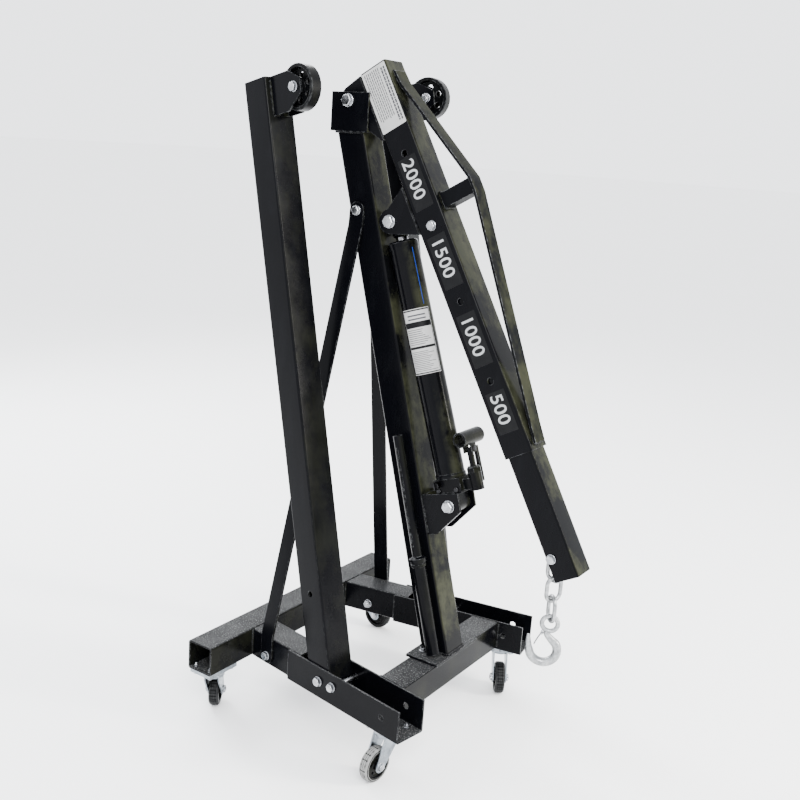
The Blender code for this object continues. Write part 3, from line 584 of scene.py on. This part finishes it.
def base_fastenings():
    """The bolts of the mast, the braces, the jack's base and the legs' pivots."""
    pivot = BOOM @ in_plane(BOOM_PIVOT)
    through_bolt("boom_pivot_bolt_fine", WORLD, pivot.x, pivot.z, -CLEVIS_HALF, CLEVIS_HALF, BOOM_PIVOT_R, "base",
                 ["boom_pivot_bolt"])
    face = HALF + BRACE_THICK + 2 * GAP
    through_bolt("brace_top_bolt_fine", WORLD, *BRACE_TOP, -face, face, BOLT_R, "base", ["brace_top_bolt"])
    face = HALF + GAP
    through_bolt("jack_base_bolt_fine", MAST, JACK_FOOT.x, JACK_FOOT.z, -face, face, HEAVY_BOLT_R, "base",
                 ["jack_base_bolt"])
    for word, side in SIDES.items():
        rails = rail_frame(side)
        wall = side * CHANNEL_OUTER
        through_bolt(word + "_leg_pivot_bolt_fine", rails, PIVOT_S, PIVOT_Z, wall, -wall, LEG_PIVOT_R, "base",
                     [word + "_leg_pivot_bolt"])
        out = side * (HALF + BRACE_THICK + GAP)
        through_bolt(word + "_brace_low_bolt", rails, *BRACE_LOW, out, -side * HALF, BOLT_R, "base")
        lock_bolts(word, side, rails)
    foot_bolts()


def lock_bolts(word, side, rails):
    """The bolt that locks the leg: it draws straight out; its nut stays on the channel."""
    bm = bmesh.new()
    wall = side * CHANNEL_OUTER
    add_head(bm, facing(rails, LOCK_S, wall, LOCK_Z, side), BOLT_R)
    shank = [(LOCK_S, wall, LOCK_Z), (LOCK_S, -wall * 0.995, LOCK_Z)]
    add_path(bm, shank, 0.0058, rails, sides=20, side_axis=(1, 0, 0))
    piece(word + "_lock_bolt_fine", bm, ZINC, word + "_lock_bolt", [word + "_lock_bolt"])
    bm = bmesh.new()
    add_nut(bm, facing(rails, LOCK_S, -wall, LOCK_Z, -side), BOLT_R)
    piece(word + "_lock_nut", bm, ZINC, "base")


def foot_bolts():
    """The two bolts through the mast's foot plate."""
    bm = bmesh.new()
    top = RAIL_TOP + FOOT_PLATE_THICK + GAP
    for x, y in ((0.0580, -0.0480), (0.0560, 0.0500)):
        add_head(bm, Matrix.Translation((x, y, top)), FOOT_BOLT_R)
    piece("mast_foot_bolts", bm, ZINC, "base")


def boom_fastenings():
    """The ram bolt and the adjusting bolt, drawn as two ends each, and the hook bolt."""
    seat = HALF + GAP
    wall = 0.0040
    for name, node, x, z, radius in (("ram_bolt_fine", "ram_bolt", *RAM_PIVOT, HEAVY_BOLT_R),
                                     ("adjusting_bolt_fine", "adjusting_bolt", ADJUST_AT, 0.0, BOLT_R)):
        bm = bmesh.new()
        add_head(bm, facing(BOOM, x, -seat, z, -1), radius)
        add_nut(bm, facing(BOOM, x, seat, z, 1), radius)
        for sign in (-1, 1):
            add_path(bm, [(x, sign * seat, z), (x, sign * (seat - wall), z)], radius * 0.98, BOOM, sides=20,
                     side_axis=(1, 0, 0))
        piece(name, bm, ZINC, "boom", [node])
    side = INNER_HALF + GAP
    through_bolt("hook_bolt_fine", BOOM, *HOOK_BOLT, -side, side, BOLT_R, "inner_boom", ["hook_bolt"])


def leg_details(word, side):
    """A leg wheel's axle, tyre band and hub ring, and the welds of its bracket."""
    legs = leg_frame(side)
    outer = side * (LEG_BRACKET_HALF + GAP)
    through_bolt(word + "_leg_wheel_axle_fine", legs, LEG_WHEEL_X, LEG_WHEEL_UP, outer, -outer, BOLT_R,
                 word + "_leg", [word + "_leg_wheel_axle"])
    bm = bmesh.new()
    hub = facing(legs, LEG_WHEEL_X, 0, LEG_WHEEL_UP, 1)
    rim = LEG_WHEEL_R
    profile = [(rim - 0.0062, 0.0128), (rim - 0.0014, 0.0128), (rim + 0.0001, 0.0112), (rim + 0.0001, -0.0112)]
    profile += [(rim - 0.0014, -0.0128), (rim - 0.0062, -0.0128)]
    add_lathe(bm, profile, hub, 64, closed=True)
    profile = [(0.0076, 0.0157), (0.0125, 0.0157), (0.0132, 0.0148), (0.0132, 0.0118), (0.0076, 0.0118)]
    add_lathe(bm, profile, hub, 32, closed=True)
    piece(word + "_leg_wheel_rim", bm, HUB, word + "_leg_wheel")
    bm = bmesh.new()
    for y in (-0.0215, 0.0215):
        add_bead(bm, (HALF + 0.0006, y, 1.222), (HALF + 0.0006, y, 1.292), 0.0022, legs)
    piece(word + "_leg_bracket_welds", bm, WELD, word + "_leg")


# ---------------------------------------------------------------- welds

def base_welds():
    """Welds of the clevis, the mast's foot, the jack bracket and the rails."""
    bm = bmesh.new()
    top = MAST_TOP_Z - 0.0008
    for y in (-0.0368, 0.0368):
        add_bead(bm, (CLEVIS_X - 0.038, y, top), (CLEVIS_X + 0.036, y, top), 0.0030)
    low = RAIL_TOP + 0.0070
    for y in (-0.0362, 0.0362):
        add_bead(bm, (MAST_FOOT_X - 0.036, y, low), (MAST_FOOT_X + 0.034, y, low))
    for x in (MAST_FOOT_X - 0.0385, MAST_FOOT_X + 0.0350):
        add_bead(bm, (x, -0.034, low), (x, 0.034, low))
    face = HALF + 0.0008
    for y in (-0.0352, 0.0352):
        add_bead(bm, (face, y, JACK_FOOT.z - 0.058), (face, y, JACK_FOOT.z + 0.026), 0.0024, MAST)
    for side in SIDES.values():
        rail_welds(bm, side)
    piece("base_welds", bm, WELD, "base")


def rail_welds(bm, side):
    """Welds where a rail meets the rear crossbar, its channel and the front crossbar."""
    rails = rail_frame(side)
    x = BAR_FRONT_X + 0.0006
    outer_y = side * RAIL_START_Y
    inner_y = outer_y - side * TUBE / cos(SPLAY)
    add_bead(bm, (x, inner_y, RAIL_TOP - 0.0012), (x, outer_y, RAIL_TOP - 0.0012))
    for y in (inner_y, outer_y):
        add_bead(bm, (x, y, RAIL_TOP - TUBE + 0.004), (x, y, RAIL_TOP - 0.003))
    for sign in (-1, 1):
        edge = sign * (CHANNEL_INNER + 0.0012)
        start = CHANNEL_START - 0.0006
        add_bead(bm, (start, edge, CHANNEL_FLOOR + 0.004), (start, edge, RAIL_TOP - 0.003), 0.0022, rails)
    wall = -side * (CHANNEL_OUTER + 0.0006)
    ends = []
    for bar_x in (FRONT_BAR_X, FRONT_BAR_X + TUBE):
        here = rails.inverted() @ Vector((bar_x, side * 0.20, 0))
        slope = rails.inverted().to_3x3() @ Vector((0, side, 0))
        ends.append(here.x + slope.x * (wall - here.y) / slope.y)
    add_bead(bm, (ends[0], wall, RAIL_TOP - 0.0014), (ends[1], wall, RAIL_TOP - 0.0014), 0.0026, rails)
    for s in ends:
        add_bead(bm, (s, wall, RAIL_TOP - TUBE + 0.004), (s, wall, RAIL_TOP - 0.004), 0.0026, rails)


def boom_welds():
    """Welds of the pivot bracket, the ram bracket, the strap's ends and its post."""
    bm = bmesh.new()
    edge = HALF - 0.0012
    low = -HALF - 0.0010
    for y in (-edge, edge):
        add_bead(bm, (0.006, y, low), (0.148, y, low), 0.0026, BOOM)
        add_bead(bm, (RAM_PIVOT[0] - 0.050, y, low), (RAM_PIVOT[0] + 0.056, y, low), 0.0026, BOOM)
    ends = ((0.0270, 0.0014), (0.8690, 0.0014), (0.3055, 0.0016), (0.3415, 0.0016))
    for x, rise in ends:
        z = HALF + rise
        add_bead(bm, (x, -0.0185, z), (x, 0.0185, z), 0.0026, BOOM)
    for x in (0.3065, 0.3405):
        add_bead(bm, (x, -0.0165, 0.1100), (x, 0.0165, 0.1100), 0.0022, BOOM)
    piece("boom_welds", bm, WELD, "boom")


# ---------------------------------------------------------------- jack

def jack_parts():
    """The cylinder, the ram and its eye, the pump's gland nut and the base's screws."""
    bm = bmesh.new()
    low, high = CYLINDER
    profile = [(0.0140, high), (0.0290, high), (0.0315, high - 0.0015), (0.0335, high - 0.004)]
    profile += [(0.0335, high - 0.016), (CYLINDER_R, high - 0.018), (CYLINDER_R, low + 0.010)]
    profile += [(0.0342, low + 0.008), (0.0346, low + 0.004), (0.0335, low), (0.0140, low)]
    add_lathe(bm, profile, JACK, 72, closed=True)
    piece("jack_cylinder_fine", bm, PAINT, "jack", ["jack_cylinder"])

    bm = bmesh.new()
    top = JACK_LENGTH
    add_path(bm, [(0, 0, 0.066), (0, 0, top - 0.032)], 0.0135, JACK, sides=40)
    piece("jack_ram_rod", bm, RAM_STEEL, "jack_ram", ["jack_ram"])

    bm = bmesh.new()
    add_lathe(bm, [(0.0140, top - 0.036), (0.0190, top - 0.031), (0.0190, top - 0.012)], JACK, 40)
    eye = facing(JACK, 0, 0, top, 1)
    profile = [(0.0089, -0.0275), (0.0182, -0.0275), (0.0192, -0.0262), (0.0192, 0.0262)]
    add_lathe(bm, profile + [(0.0182, 0.0275), (0.0089, 0.0275)], eye, 48, closed=True)
    piece("jack_ram_eye", bm, PAINT, "jack_ram")

    bm = bmesh.new()
    barrel = JACK @ Matrix.Translation((PUMP_X, 0, 0))
    profile = [(0.0078, 0.0655), (0.0168, 0.0655), (0.0172, 0.0670), (0.0172, 0.0745)]
    add_lathe(bm, profile + [(0.0160, 0.0770), (0.0078, 0.0770)], barrel, 6, closed=True)
    profile = [(0.0074, 0.0765), (0.0120, 0.0765), (0.0120, 0.0795), (0.0074, 0.0795)]
    add_lathe(bm, profile, barrel, 32, closed=True)
    piece("pump_gland_nut", bm, CAST, "jack")

    bm = bmesh.new()
    for x in (-0.022, 0.024):
        add_head(bm, facing(JACK, x, -0.0262, 0.0345, -1), SCREW_R, washer=False)
    piece("jack_base_screws", bm, DARK_STEEL, "jack")
    socket_parts()


def socket_parts():
    """The pump handle socket with its rolled ends, its lug and the links to the plunger."""
    bm = bmesh.new()
    socket = facing(JACK, PUMP_X, 0, SOCKET_UP, -1)
    outer = 0.0170
    inner = 0.0130
    profile = [(inner, 0.0340), (inner + 0.001, 0.0346), (outer - 0.001, 0.0346), (outer, 0.0336)]
    profile += [(outer, -0.0450), (outer - 0.001, -0.0460), (inner + 0.001, -0.0460), (inner, -0.0450)]
    add_lathe(bm, profile, socket, 48, closed=True)
    piece("pump_socket_fine", bm, CAST, "pump_socket", ["pump_socket"])

    bm = bmesh.new()
    for sign in (-1, 1):
        x = PUMP_X + sign * 0.0098
        low = (x - 0.0019, -0.0105, SOCKET_UP - 0.0330)
        high = (x + 0.0019, 0.0105, SOCKET_UP - 0.0120)
        add_block(bm, low, high, JACK, 0.0015)
    pin = [(PUMP_X - 0.0135, 0, SOCKET_LUG_UP), (PUMP_X + 0.0135, 0, SOCKET_LUG_UP)]
    add_path(bm, pin, 0.0032, JACK, sides=20)
    piece("pump_links", bm, CAST, "pump_socket")

    bm = bmesh.new()
    for sign in (-1, 1):
        at = Matrix.Translation((PUMP_X + sign * 0.0112, 0, SOCKET_LUG_UP))
        seat = JACK @ at @ Matrix.Rotation(sign * pi / 2, 4, "Y")
        add_lathe(bm, [(0.0052, 0.0), (0.0056, 0.0008), (0.0052, 0.0020), (0.0020, 0.0026)], seat, 20)
    piece("pump_link_rivets", bm, DARK_STEEL, "pump_socket")


def handle_parts():
    """A rolled collar where the two halves of the pump handle meet."""
    bm = bmesh.new()
    stick = MAST @ Matrix.Translation((0.011, -0.0555, 0.0))
    add_lathe(bm, [(0.0157, 0.2120), (0.0172, 0.2135), (0.0172, 0.2190), (0.0157, 0.2205)], stick, 40)
    piece("pump_handle_collar", bm, CAST, "pump_handle")


# ---------------------------------------------------------------- casters and chain

def caster_details(word, x, y, yaw, nut_z):
    """One caster's plate bolts, with their nuts at nut_z, its swivel ring, its tyre and its axle nuts."""
    along = Matrix.Translation((x, y, 0)) @ Matrix.Rotation(yaw, 4, "Z")
    over = Matrix.Rotation(pi, 4, "X")
    bm = bmesh.new()
    for px in (-PLATE_BOLT_X, PLATE_BOLT_X):
        for py in (-PLATE_BOLT_Y, PLATE_BOLT_Y):
            add_head(bm, along @ Matrix.Translation((px, py, PLATE_LOW)) @ over, SCREW_R)
            add_nut(bm, along @ Matrix.Translation((px, py, nut_z)), SCREW_R)
    profile = [(0.0253, PLATE_LOW), (0.0300, PLATE_LOW), (0.0290, PLATE_LOW - 0.0034)]
    add_lathe(bm, profile + [(0.0253, PLATE_LOW - 0.0040)], along, 48, closed=True)
    piece(word + "_caster_fastenings", bm, ZINC, "base")

    turn = Matrix.Translation((x, y, 0)) @ Matrix.Rotation(radians(CASTER_TURN[word]), 4, "Z")
    hub = facing(turn, CASTER_TRAIL, 0, CASTER_R, 1)
    bm = bmesh.new()
    rim = CASTER_R
    groove = rim - 0.0009
    profile = [(0.0283, 0.0112), (rim - 0.0062, 0.0116), (rim - 0.0026, 0.0104), (rim - 0.0006, 0.0078)]
    profile += [(rim, 0.0052), (groove, 0.0046), (rim, 0.0040), (rim, 0.0006), (groove, 0.0)]
    profile += [(rim, -0.0006), (rim, -0.0040), (groove, -0.0046), (rim, -0.0052)]
    profile += [(rim - 0.0006, -0.0078), (rim - 0.0026, -0.0104), (rim - 0.0062, -0.0116), (0.0283, -0.0112)]

    pale = word == "near_front"
    notch = -0.00018 if pale else -0.0007

    def tread(step, index):
        return notch if 3 <= index <= 13 and step % 3 == 0 else 0.0

    add_lathe(bm, profile, hub, 96, closed=True, wobble=tread)
    tyre = PALE_TYRE if pale else RUBBER
    piece(word + "_caster_tyre", bm, tyre, word + "_caster_wheel", smooth=50)
    bm = bmesh.new()
    for sign in (-1, 1):
        seat = facing(turn, CASTER_TRAIL, sign * FORK_HALF, CASTER_R, sign)
        add_washer(bm, seat, 0.0045, 0.0100, 0.0012)
        add_hex(bm, seat, 0.0086, 0.0012, 0.0038)
        add_thread(bm, seat, 0.0044, 0.0050, 0.0016)
    seat = turn @ Matrix.Translation((0, 0, SWIVEL_NUT_Z)) @ over
    add_lathe(bm, [(0.0085, 0.0), (0.0085, 0.0020), (0.0060, 0.0042), (0.0020, 0.0048)], seat, 28)
    piece(word + "_caster_axle_nuts", bm, ZINC, word + "_caster_fork")


def all_casters():
    """Details of the two casters under the rear crossbar and the two under the channels."""
    bar_floor = RAIL_TOP - TUBE + WALL
    for word, side in SIDES.items():
        caster_details(word + "_rear", BAR_REAR_X + HALF, side * REAR_CASTER_Y, pi / 2, bar_floor)
        at = rail_frame(side) @ Vector((FRONT_CASTER_S, 0, 0))
        caster_details(word + "_front", at.x, at.y, side * SPLAY, CHANNEL_FLOOR)


def chain_link(number, centre, inside, turn):
    """A round bar bent into a link whose opening is inside long."""
    radius = LINK_WIDTH / 2 + LINK_WIRE
    straight = inside / 2 - LINK_WIDTH / 2
    points = []
    for start, up in ((0, 1), (180, -1)):
        for k in range(17):
            angle = radians(start + 180 * k / 16)
            points.append((radius * cos(angle), 0, up * straight + radius * sin(angle)))
    where = Matrix.Translation(centre) @ Matrix.Rotation(radians(turn), 4, "Z")
    bm = bmesh.new()
    add_path(bm, points, LINK_WIRE, where, sides=16, closed=True)
    node = "chain_link_%d" % number
    piece(node + "_fine", bm, GALVANISED, node, [node])


def smooth_run(points, count):
    """A Catmull-Rom curve through points, each a tuple of numbers."""
    padded = [points[0]] + list(points) + [points[-1]]
    out = []
    for k in range(1, len(padded) - 2):
        a, b, c, d = padded[k - 1:k + 3]
        for n in range(count):
            t = n / count
            out.append(tuple(0.5 * (2 * q + (r - p) * t + (2 * p - 5 * q + 4 * r - s) * t * t
                                    + (3 * q - p - 3 * r + s) * t ** 3) for p, q, r, s in zip(a, b, c, d)))
    out.append(points[-1])
    return out


def hook_parts(centre):
    """The cast hook: eye, swelling shank, and a bowl that tapers and flares to its tip."""
    where = Matrix.Translation(centre) @ Matrix.Rotation(radians(HOOK_TURN), 4, "Z")
    bowl_x, bowl_z, bowl_r = BOWL
    path = [(-0.0080, 0, -0.0185, 0.0055), (-0.0020, 0, -0.0280, 0.0069), (0.0085, 0, -0.0385, 0.0084)]
    for angle in range(30, -221, -25):
        taper = max(-150 - angle, 0) / 70
        flare = max(-170 - angle, 0) / 50
        reach = bowl_r + 0.014 * flare ** 2
        thick = 0.0096 - 0.0057 * taper ** 2
        spin = radians(angle)
        path.append((bowl_x + reach * cos(spin), 0, bowl_z + reach * sin(spin), thick))
    run = smooth_run(path, 4)
    bm = bmesh.new()
    add_path(bm, [p[:3] for p in run], [p[3] for p in run], where, sides=20)
    tip = run[-1]
    cap = where @ Matrix.Translation(tip[:3])
    round_tip = [(tip[3] * cos(a), tip[3] * 0.8 * sin(a)) for a in (-1.2, -0.8, -0.4, 0.0, 0.4, 0.8, 1.2)]
    add_lathe(bm, round_tip, cap, 20)
    ring = []
    for k in range(16):
        angle = 2 * pi * k / 16
        ring.append((HOOK_EYE + HOOK_WIRE + HOOK_WIRE * cos(angle), HOOK_WIRE * sin(angle)))
    add_lathe(bm, ring, facing(where, 0, 0, 0, 1), 48, closed=True)
    piece("hook_fine", bm, GALVANISED, "hook", ["hook"])
    latch_parts(where)


def latch_parts(hook_frame):
    """The latch's tongue, its pin and the coil of its spring."""
    hinge = hook_frame @ Matrix.Translation(in_plane(LATCH_HINGE)) @ Matrix.Rotation(LATCH_LEAN, 4, "Y")
    bm = bmesh.new()
    tongue = [(0, 0, 0.0), (-0.0005, 0, -0.012), (-0.0002, 0, -0.022), (0.0008, 0, -0.0326)]
    add_path(bm, tongue, 0.0058, hinge, sides=12, flat=0.17)
    add_path(bm, [(0, -0.0078, -0.0004), (0, 0.0078, -0.0004)], 0.0019, hinge, sides=16, side_axis=(1, 0, 0))
    coil = []
    for k in range(49):
        angle = 2 * pi * k / 12
        coil.append((0.0029 * cos(angle), -0.0068 + 0.0032 * k / 48, -0.0004 + 0.0029 * sin(angle)))
    add_path(bm, coil, 0.0005, hinge, sides=8)
    piece("hook_latch_fine", bm, ZINC, "hook_latch", ["hook_latch"])


def hanging_parts():
    """The links and the hook, each hung from the one above, down from the hook bolt."""
    bolt_at = BOOM @ in_plane(HOOK_BOLT)
    top = bolt_at.z + BOLT_R + GAP
    for number, turn in LINK_TURN.items():
        inside = TOP_LINK_INSIDE if number == 1 else LINK_INSIDE
        chain_link(number, (bolt_at.x, 0, top - inside / 2), inside, turn)
        top += LINK_SLACK - inside
    hook_parts((bolt_at.x, 0, top - LINK_SLACK + GAP - HOOK_EYE))


# ---------------------------------------------------------------- labels

def add_patch(bm, outline, where, lift):
    """A thin flat patch in the frame's XZ plane on the near side, lift out of the face."""
    front = [bm.verts.new(where @ Vector((x, -lift - FILM, z))) for x, z in outline]
    back = [bm.verts.new(where @ Vector((x, -lift, z))) for x, z in outline]
    bm.faces.new(front)
    bm.faces.new(back[::-1])
    total = len(outline)
    for k in range(total):
        n = (k + 1) % total
        bm.faces.new((front[k], back[k], back[n], front[n]))


def rounded(x0, z0, x1, z1, radius=0.002):
    """The outline of a rectangle with round corners."""
    corners = ((x1 - radius, z1 - radius, 0), (x0 + radius, z1 - radius, 90),
               (x0 + radius, z0 + radius, 180), (x1 - radius, z0 + radius, 270))
    points = []
    for cx, cz, start in corners:
        for k in range(5):
            angle = radians(start + 22.5 * k)
            points.append((cx + radius * cos(angle), cz + radius * sin(angle)))
    return points


def ink_lines(bm, where, lift, x0, x1, tops, height, seed):
    """Rows of short strokes that stand for printed text."""
    for row, top in enumerate(tops):
        x = x0
        k = 0
        while x < x1 - 0.004:
            width = 0.0035 + 0.0045 * abs(sin(seed + row * 2.3 + k * 1.7))
            end = min(x + width, x1)
            add_patch(bm, [(x, top - height), (end, top - height), (end, top), (x, top)], where, lift)
            x = end + 0.0013
            k += 1


def boom_label():
    """The pale label at the rear of the boom, with grey strokes for its text."""
    face = HALF + SKIN
    bm = bmesh.new()
    add_patch(bm, rounded(0.003, -0.0325, 0.141, 0.0325), BOOM, face)
    piece("boom_label", bm, WHITE_LABEL, "boom")
    bm = bmesh.new()
    tops = [0.0285 - 0.0066 * k for k in range(2)]
    ink_lines(bm, BOOM, face + 0.00015, 0.012, 0.132, tops, 0.0040, 0.4)
    tops = [0.0120 - 0.0052 * k for k in range(8)]
    ink_lines(bm, BOOM, face + 0.00015, 0.008, 0.118, tops, 0.0020, 1.9)
    piece("boom_label_print", bm, GREY_INK, "boom")


def numeral(text, start, height, body_frame, lift):
    """A printed number that starts at start along the boom."""
    curve = bpy.data.curves.new("number_outline", "FONT")
    curve.body = text
    curve.size = height / 0.70
    curve.offset = 0.0004
    curve.space_character = 1.06
    curve.extrude = 0.00006
    drawn = bpy.data.objects.new("number_outline", curve)
    bpy.context.scene.collection.objects.link(drawn)
    bpy.context.view_layer.update()
    graph = bpy.context.evaluated_depsgraph_get()
    mesh = bpy.data.meshes.new_from_object(drawn.evaluated_get(graph))
    bpy.data.objects.remove(drawn)
    turn = Matrix.Translation((start, -lift, -height / 2)) @ Matrix.Rotation(pi / 2, 4, "X")
    bm = bmesh.new()
    bm.from_mesh(mesh)
    bm.transform(body_frame @ turn)
    return bm


def capacity_numbers():
    """One plain number beside each setting of the inner boom, on a gloss black strip."""
    face = HALF + SKIN
    digit_pitch = 0.0262
    digit_height = 0.0295
    settings = (("2000", 0.214), ("1500", 0.392), ("1000", 0.569), ("500", 0.744))
    for text, start in settings:
        width = digit_pitch * len(text) + 0.006
        bm = bmesh.new()
        add_patch(bm, rounded(start - 0.006, -0.024, start + width, 0.024, 0.0015), BOOM, face)
        piece("capacity_strip_" + text, bm, BLACK_INK, "boom")
        bm = numeral(text, start, digit_height, BOOM, face + 0.00022)
        piece("capacity_number_" + text, bm, PALE_INK, "boom")


def curved_patch(bm, radius, start, end, low, high, count=18):
    """A thin patch on the jack's cylinder between two angles and two heights."""
    inner = []
    outer = []
    for k in range(count + 1):
        angle = radians(start + (end - start) * k / count)
        for rows, reach in ((inner, radius), (outer, radius + FILM)):
            x = reach * cos(angle)
            y = reach * sin(angle)
            rows.append([bm.verts.new(JACK @ Vector((x, y, z))) for z in (low, high)])
    for k in range(count):
        bm.faces.new((outer[k][0], outer[k + 1][0], outer[k + 1][1], outer[k][1]))
        bm.faces.new((inner[k][1], inner[k + 1][1], inner[k + 1][0], inner[k][0]))
        bm.faces.new((inner[k][0], inner[k + 1][0], outer[k + 1][0], outer[k][0]))
        bm.faces.new((outer[k][1], outer[k + 1][1], inner[k + 1][1], inner[k][1]))
    for k in (0, count):
        bm.faces.new((inner[k][0], outer[k][0], outer[k][1], inner[k][1]))


def jack_label():
    """A framed two-panel label round the front of the cylinder, and a blue line up its side."""
    radius = CYLINDER_R + SKIN
    start, end = -124, -6
    bm = bmesh.new()
    curved_patch(bm, radius, start, end, 0.296, 0.440)
    piece("jack_label_ground", bm, WHITE_LABEL, "jack")
    bm = bmesh.new()
    curved_patch(bm, radius + 0.0002, start + 2, end - 2, 0.2975, 0.4385)
    piece("jack_label_frame", bm, BLACK_INK, "jack")
    bm = bmesh.new()
    for low, high in ((0.4115, 0.4355), (0.3580, 0.3990), (0.3000, 0.3525)):
        curved_patch(bm, radius + 0.0004, start + 5, end - 5, low, high)
    piece("jack_label_panels", bm, WHITE_LABEL, "jack")
    bm = bmesh.new()
    for row in range(12):
        low = 0.3035 + 0.0038 * row
        stop = end - 12 - 30 * abs(sin(row * 1.9))
        curved_patch(bm, radius + 0.0006, start + 9, stop, low, low + 0.0012, 10)
    for row in range(8):
        low = 0.3620 + 0.0045 * row
        stop = end - 14 - 34 * abs(sin(row * 2.7 + 1))
        curved_patch(bm, radius + 0.0006, start + 10, stop, low, low + 0.0014, 10)
    for low in (0.4160, 0.4240):
        curved_patch(bm, radius + 0.0006, start + 24, end - 22, low, low + 0.0032, 10)
    piece("jack_label_print", bm, GREY_INK, "jack")
    bm = bmesh.new()
    curved_patch(bm, radius, -25, -22, 0.447, 0.572, 2)
    piece("jack_blue_line", bm, BLUE_LINE, "jack")


# ---------------------------------------------------------------- stage

def floor():
    """A flat floor that reaches far behind the hoist."""
    bm = bmesh.new()
    count = 12
    reach = 70.0
    grid = []
    for i in range(count + 1):
        row = []
        for j in range(count + 1):
            at = (-reach + 2 * reach * i / count, -reach + 2 * reach * j / count, -0.0002)
            row.append(bm.verts.new(at))
        grid.append(row)
    for i in range(count):
        for j in range(count):
            bm.faces.new((grid[i][j], grid[i + 1][j], grid[i + 1][j + 1], grid[i][j + 1]))
    mesh = bpy.data.meshes.new("studio_floor")
    bm.to_mesh(mesh)
    bm.free()
    mesh.materials.append(floor_material())
    made = bpy.data.objects.new("studio_floor", mesh)
    bpy.context.scene.collection.objects.link(made)


def lamp(name, place, aim, size, power, colour=(1.0, 1.0, 1.0)):
    """A rectangular lamp at place that points at aim."""
    light = bpy.data.lights.new(name, "AREA")
    light.shape = "RECTANGLE"
    light.size = size[0]
    light.size_y = size[1]
    light.energy = power
    light.color = colour
    made = bpy.data.objects.new(name, light)
    bpy.context.scene.collection.objects.link(made)
    made.location = place
    made.rotation_euler = (Vector(aim) - Vector(place)).to_track_quat("-Z", "Y").to_euler()


def lights():
    """A bright even world and four soft lamps."""
    world = bpy.data.worlds.new("studio")
    bpy.context.scene.world = world
    world.use_nodes = True
    background = world.node_tree.nodes["Background"]
    background.inputs["Color"].default_value = rgb(0.95, 0.97, 1.0)
    background.inputs["Strength"].default_value = 3.1
    aim = (0.0, 0.0, 0.75)
    lamp("key", (2.2, -2.6, 3.2), aim, (1.6, 1.6), 230)
    lamp("side", (3.0, 1.2, 1.9), aim, (0.35, 2.4), 190, (1.0, 0.97, 0.90))
    lamp("fill", (-3.0, 0.5, 2.4), aim, (0.6, 2.4), 130, (0.92, 0.96, 1.0))
    lamp("back", (-2.6, 2.4, 3.2), aim, (2.4, 1.2), 120)


def camera():
    """The photo's view: place, turn and lens were solved from the straight edges of the base."""
    yaw = radians(33.42)
    pitch = radians(13.88)
    roll = radians(3.87)
    right = Vector((cos(yaw), sin(yaw), 0))
    back = Vector((sin(yaw) * cos(pitch), -cos(yaw) * cos(pitch), sin(pitch)))
    up = back.cross(right)
    turn = Matrix((right, up, back)).transposed().to_4x4() @ Matrix.Rotation(roll, 4, "Z")
    data = bpy.data.cameras.new("photo_camera")
    data.sensor_width = 36.0
    data.lens = 46.22
    made = bpy.data.objects.new("photo_camera", data)
    bpy.context.scene.collection.objects.link(made)
    made.matrix_world = Matrix.Translation((1.161, -1.886, 1.307)) @ turn
    bpy.context.scene.camera = made


def build():
    camera()
    dress_nodes()
    base_fastenings()
    boom_fastenings()
    for word, side in SIDES.items():
        leg_details(word, side)
    base_welds()
    boom_welds()
    jack_parts()
    handle_parts()
    all_casters()
    hanging_parts()
    boom_label()
    capacity_numbers()
    jack_label()
    floor()
    lights()


build()
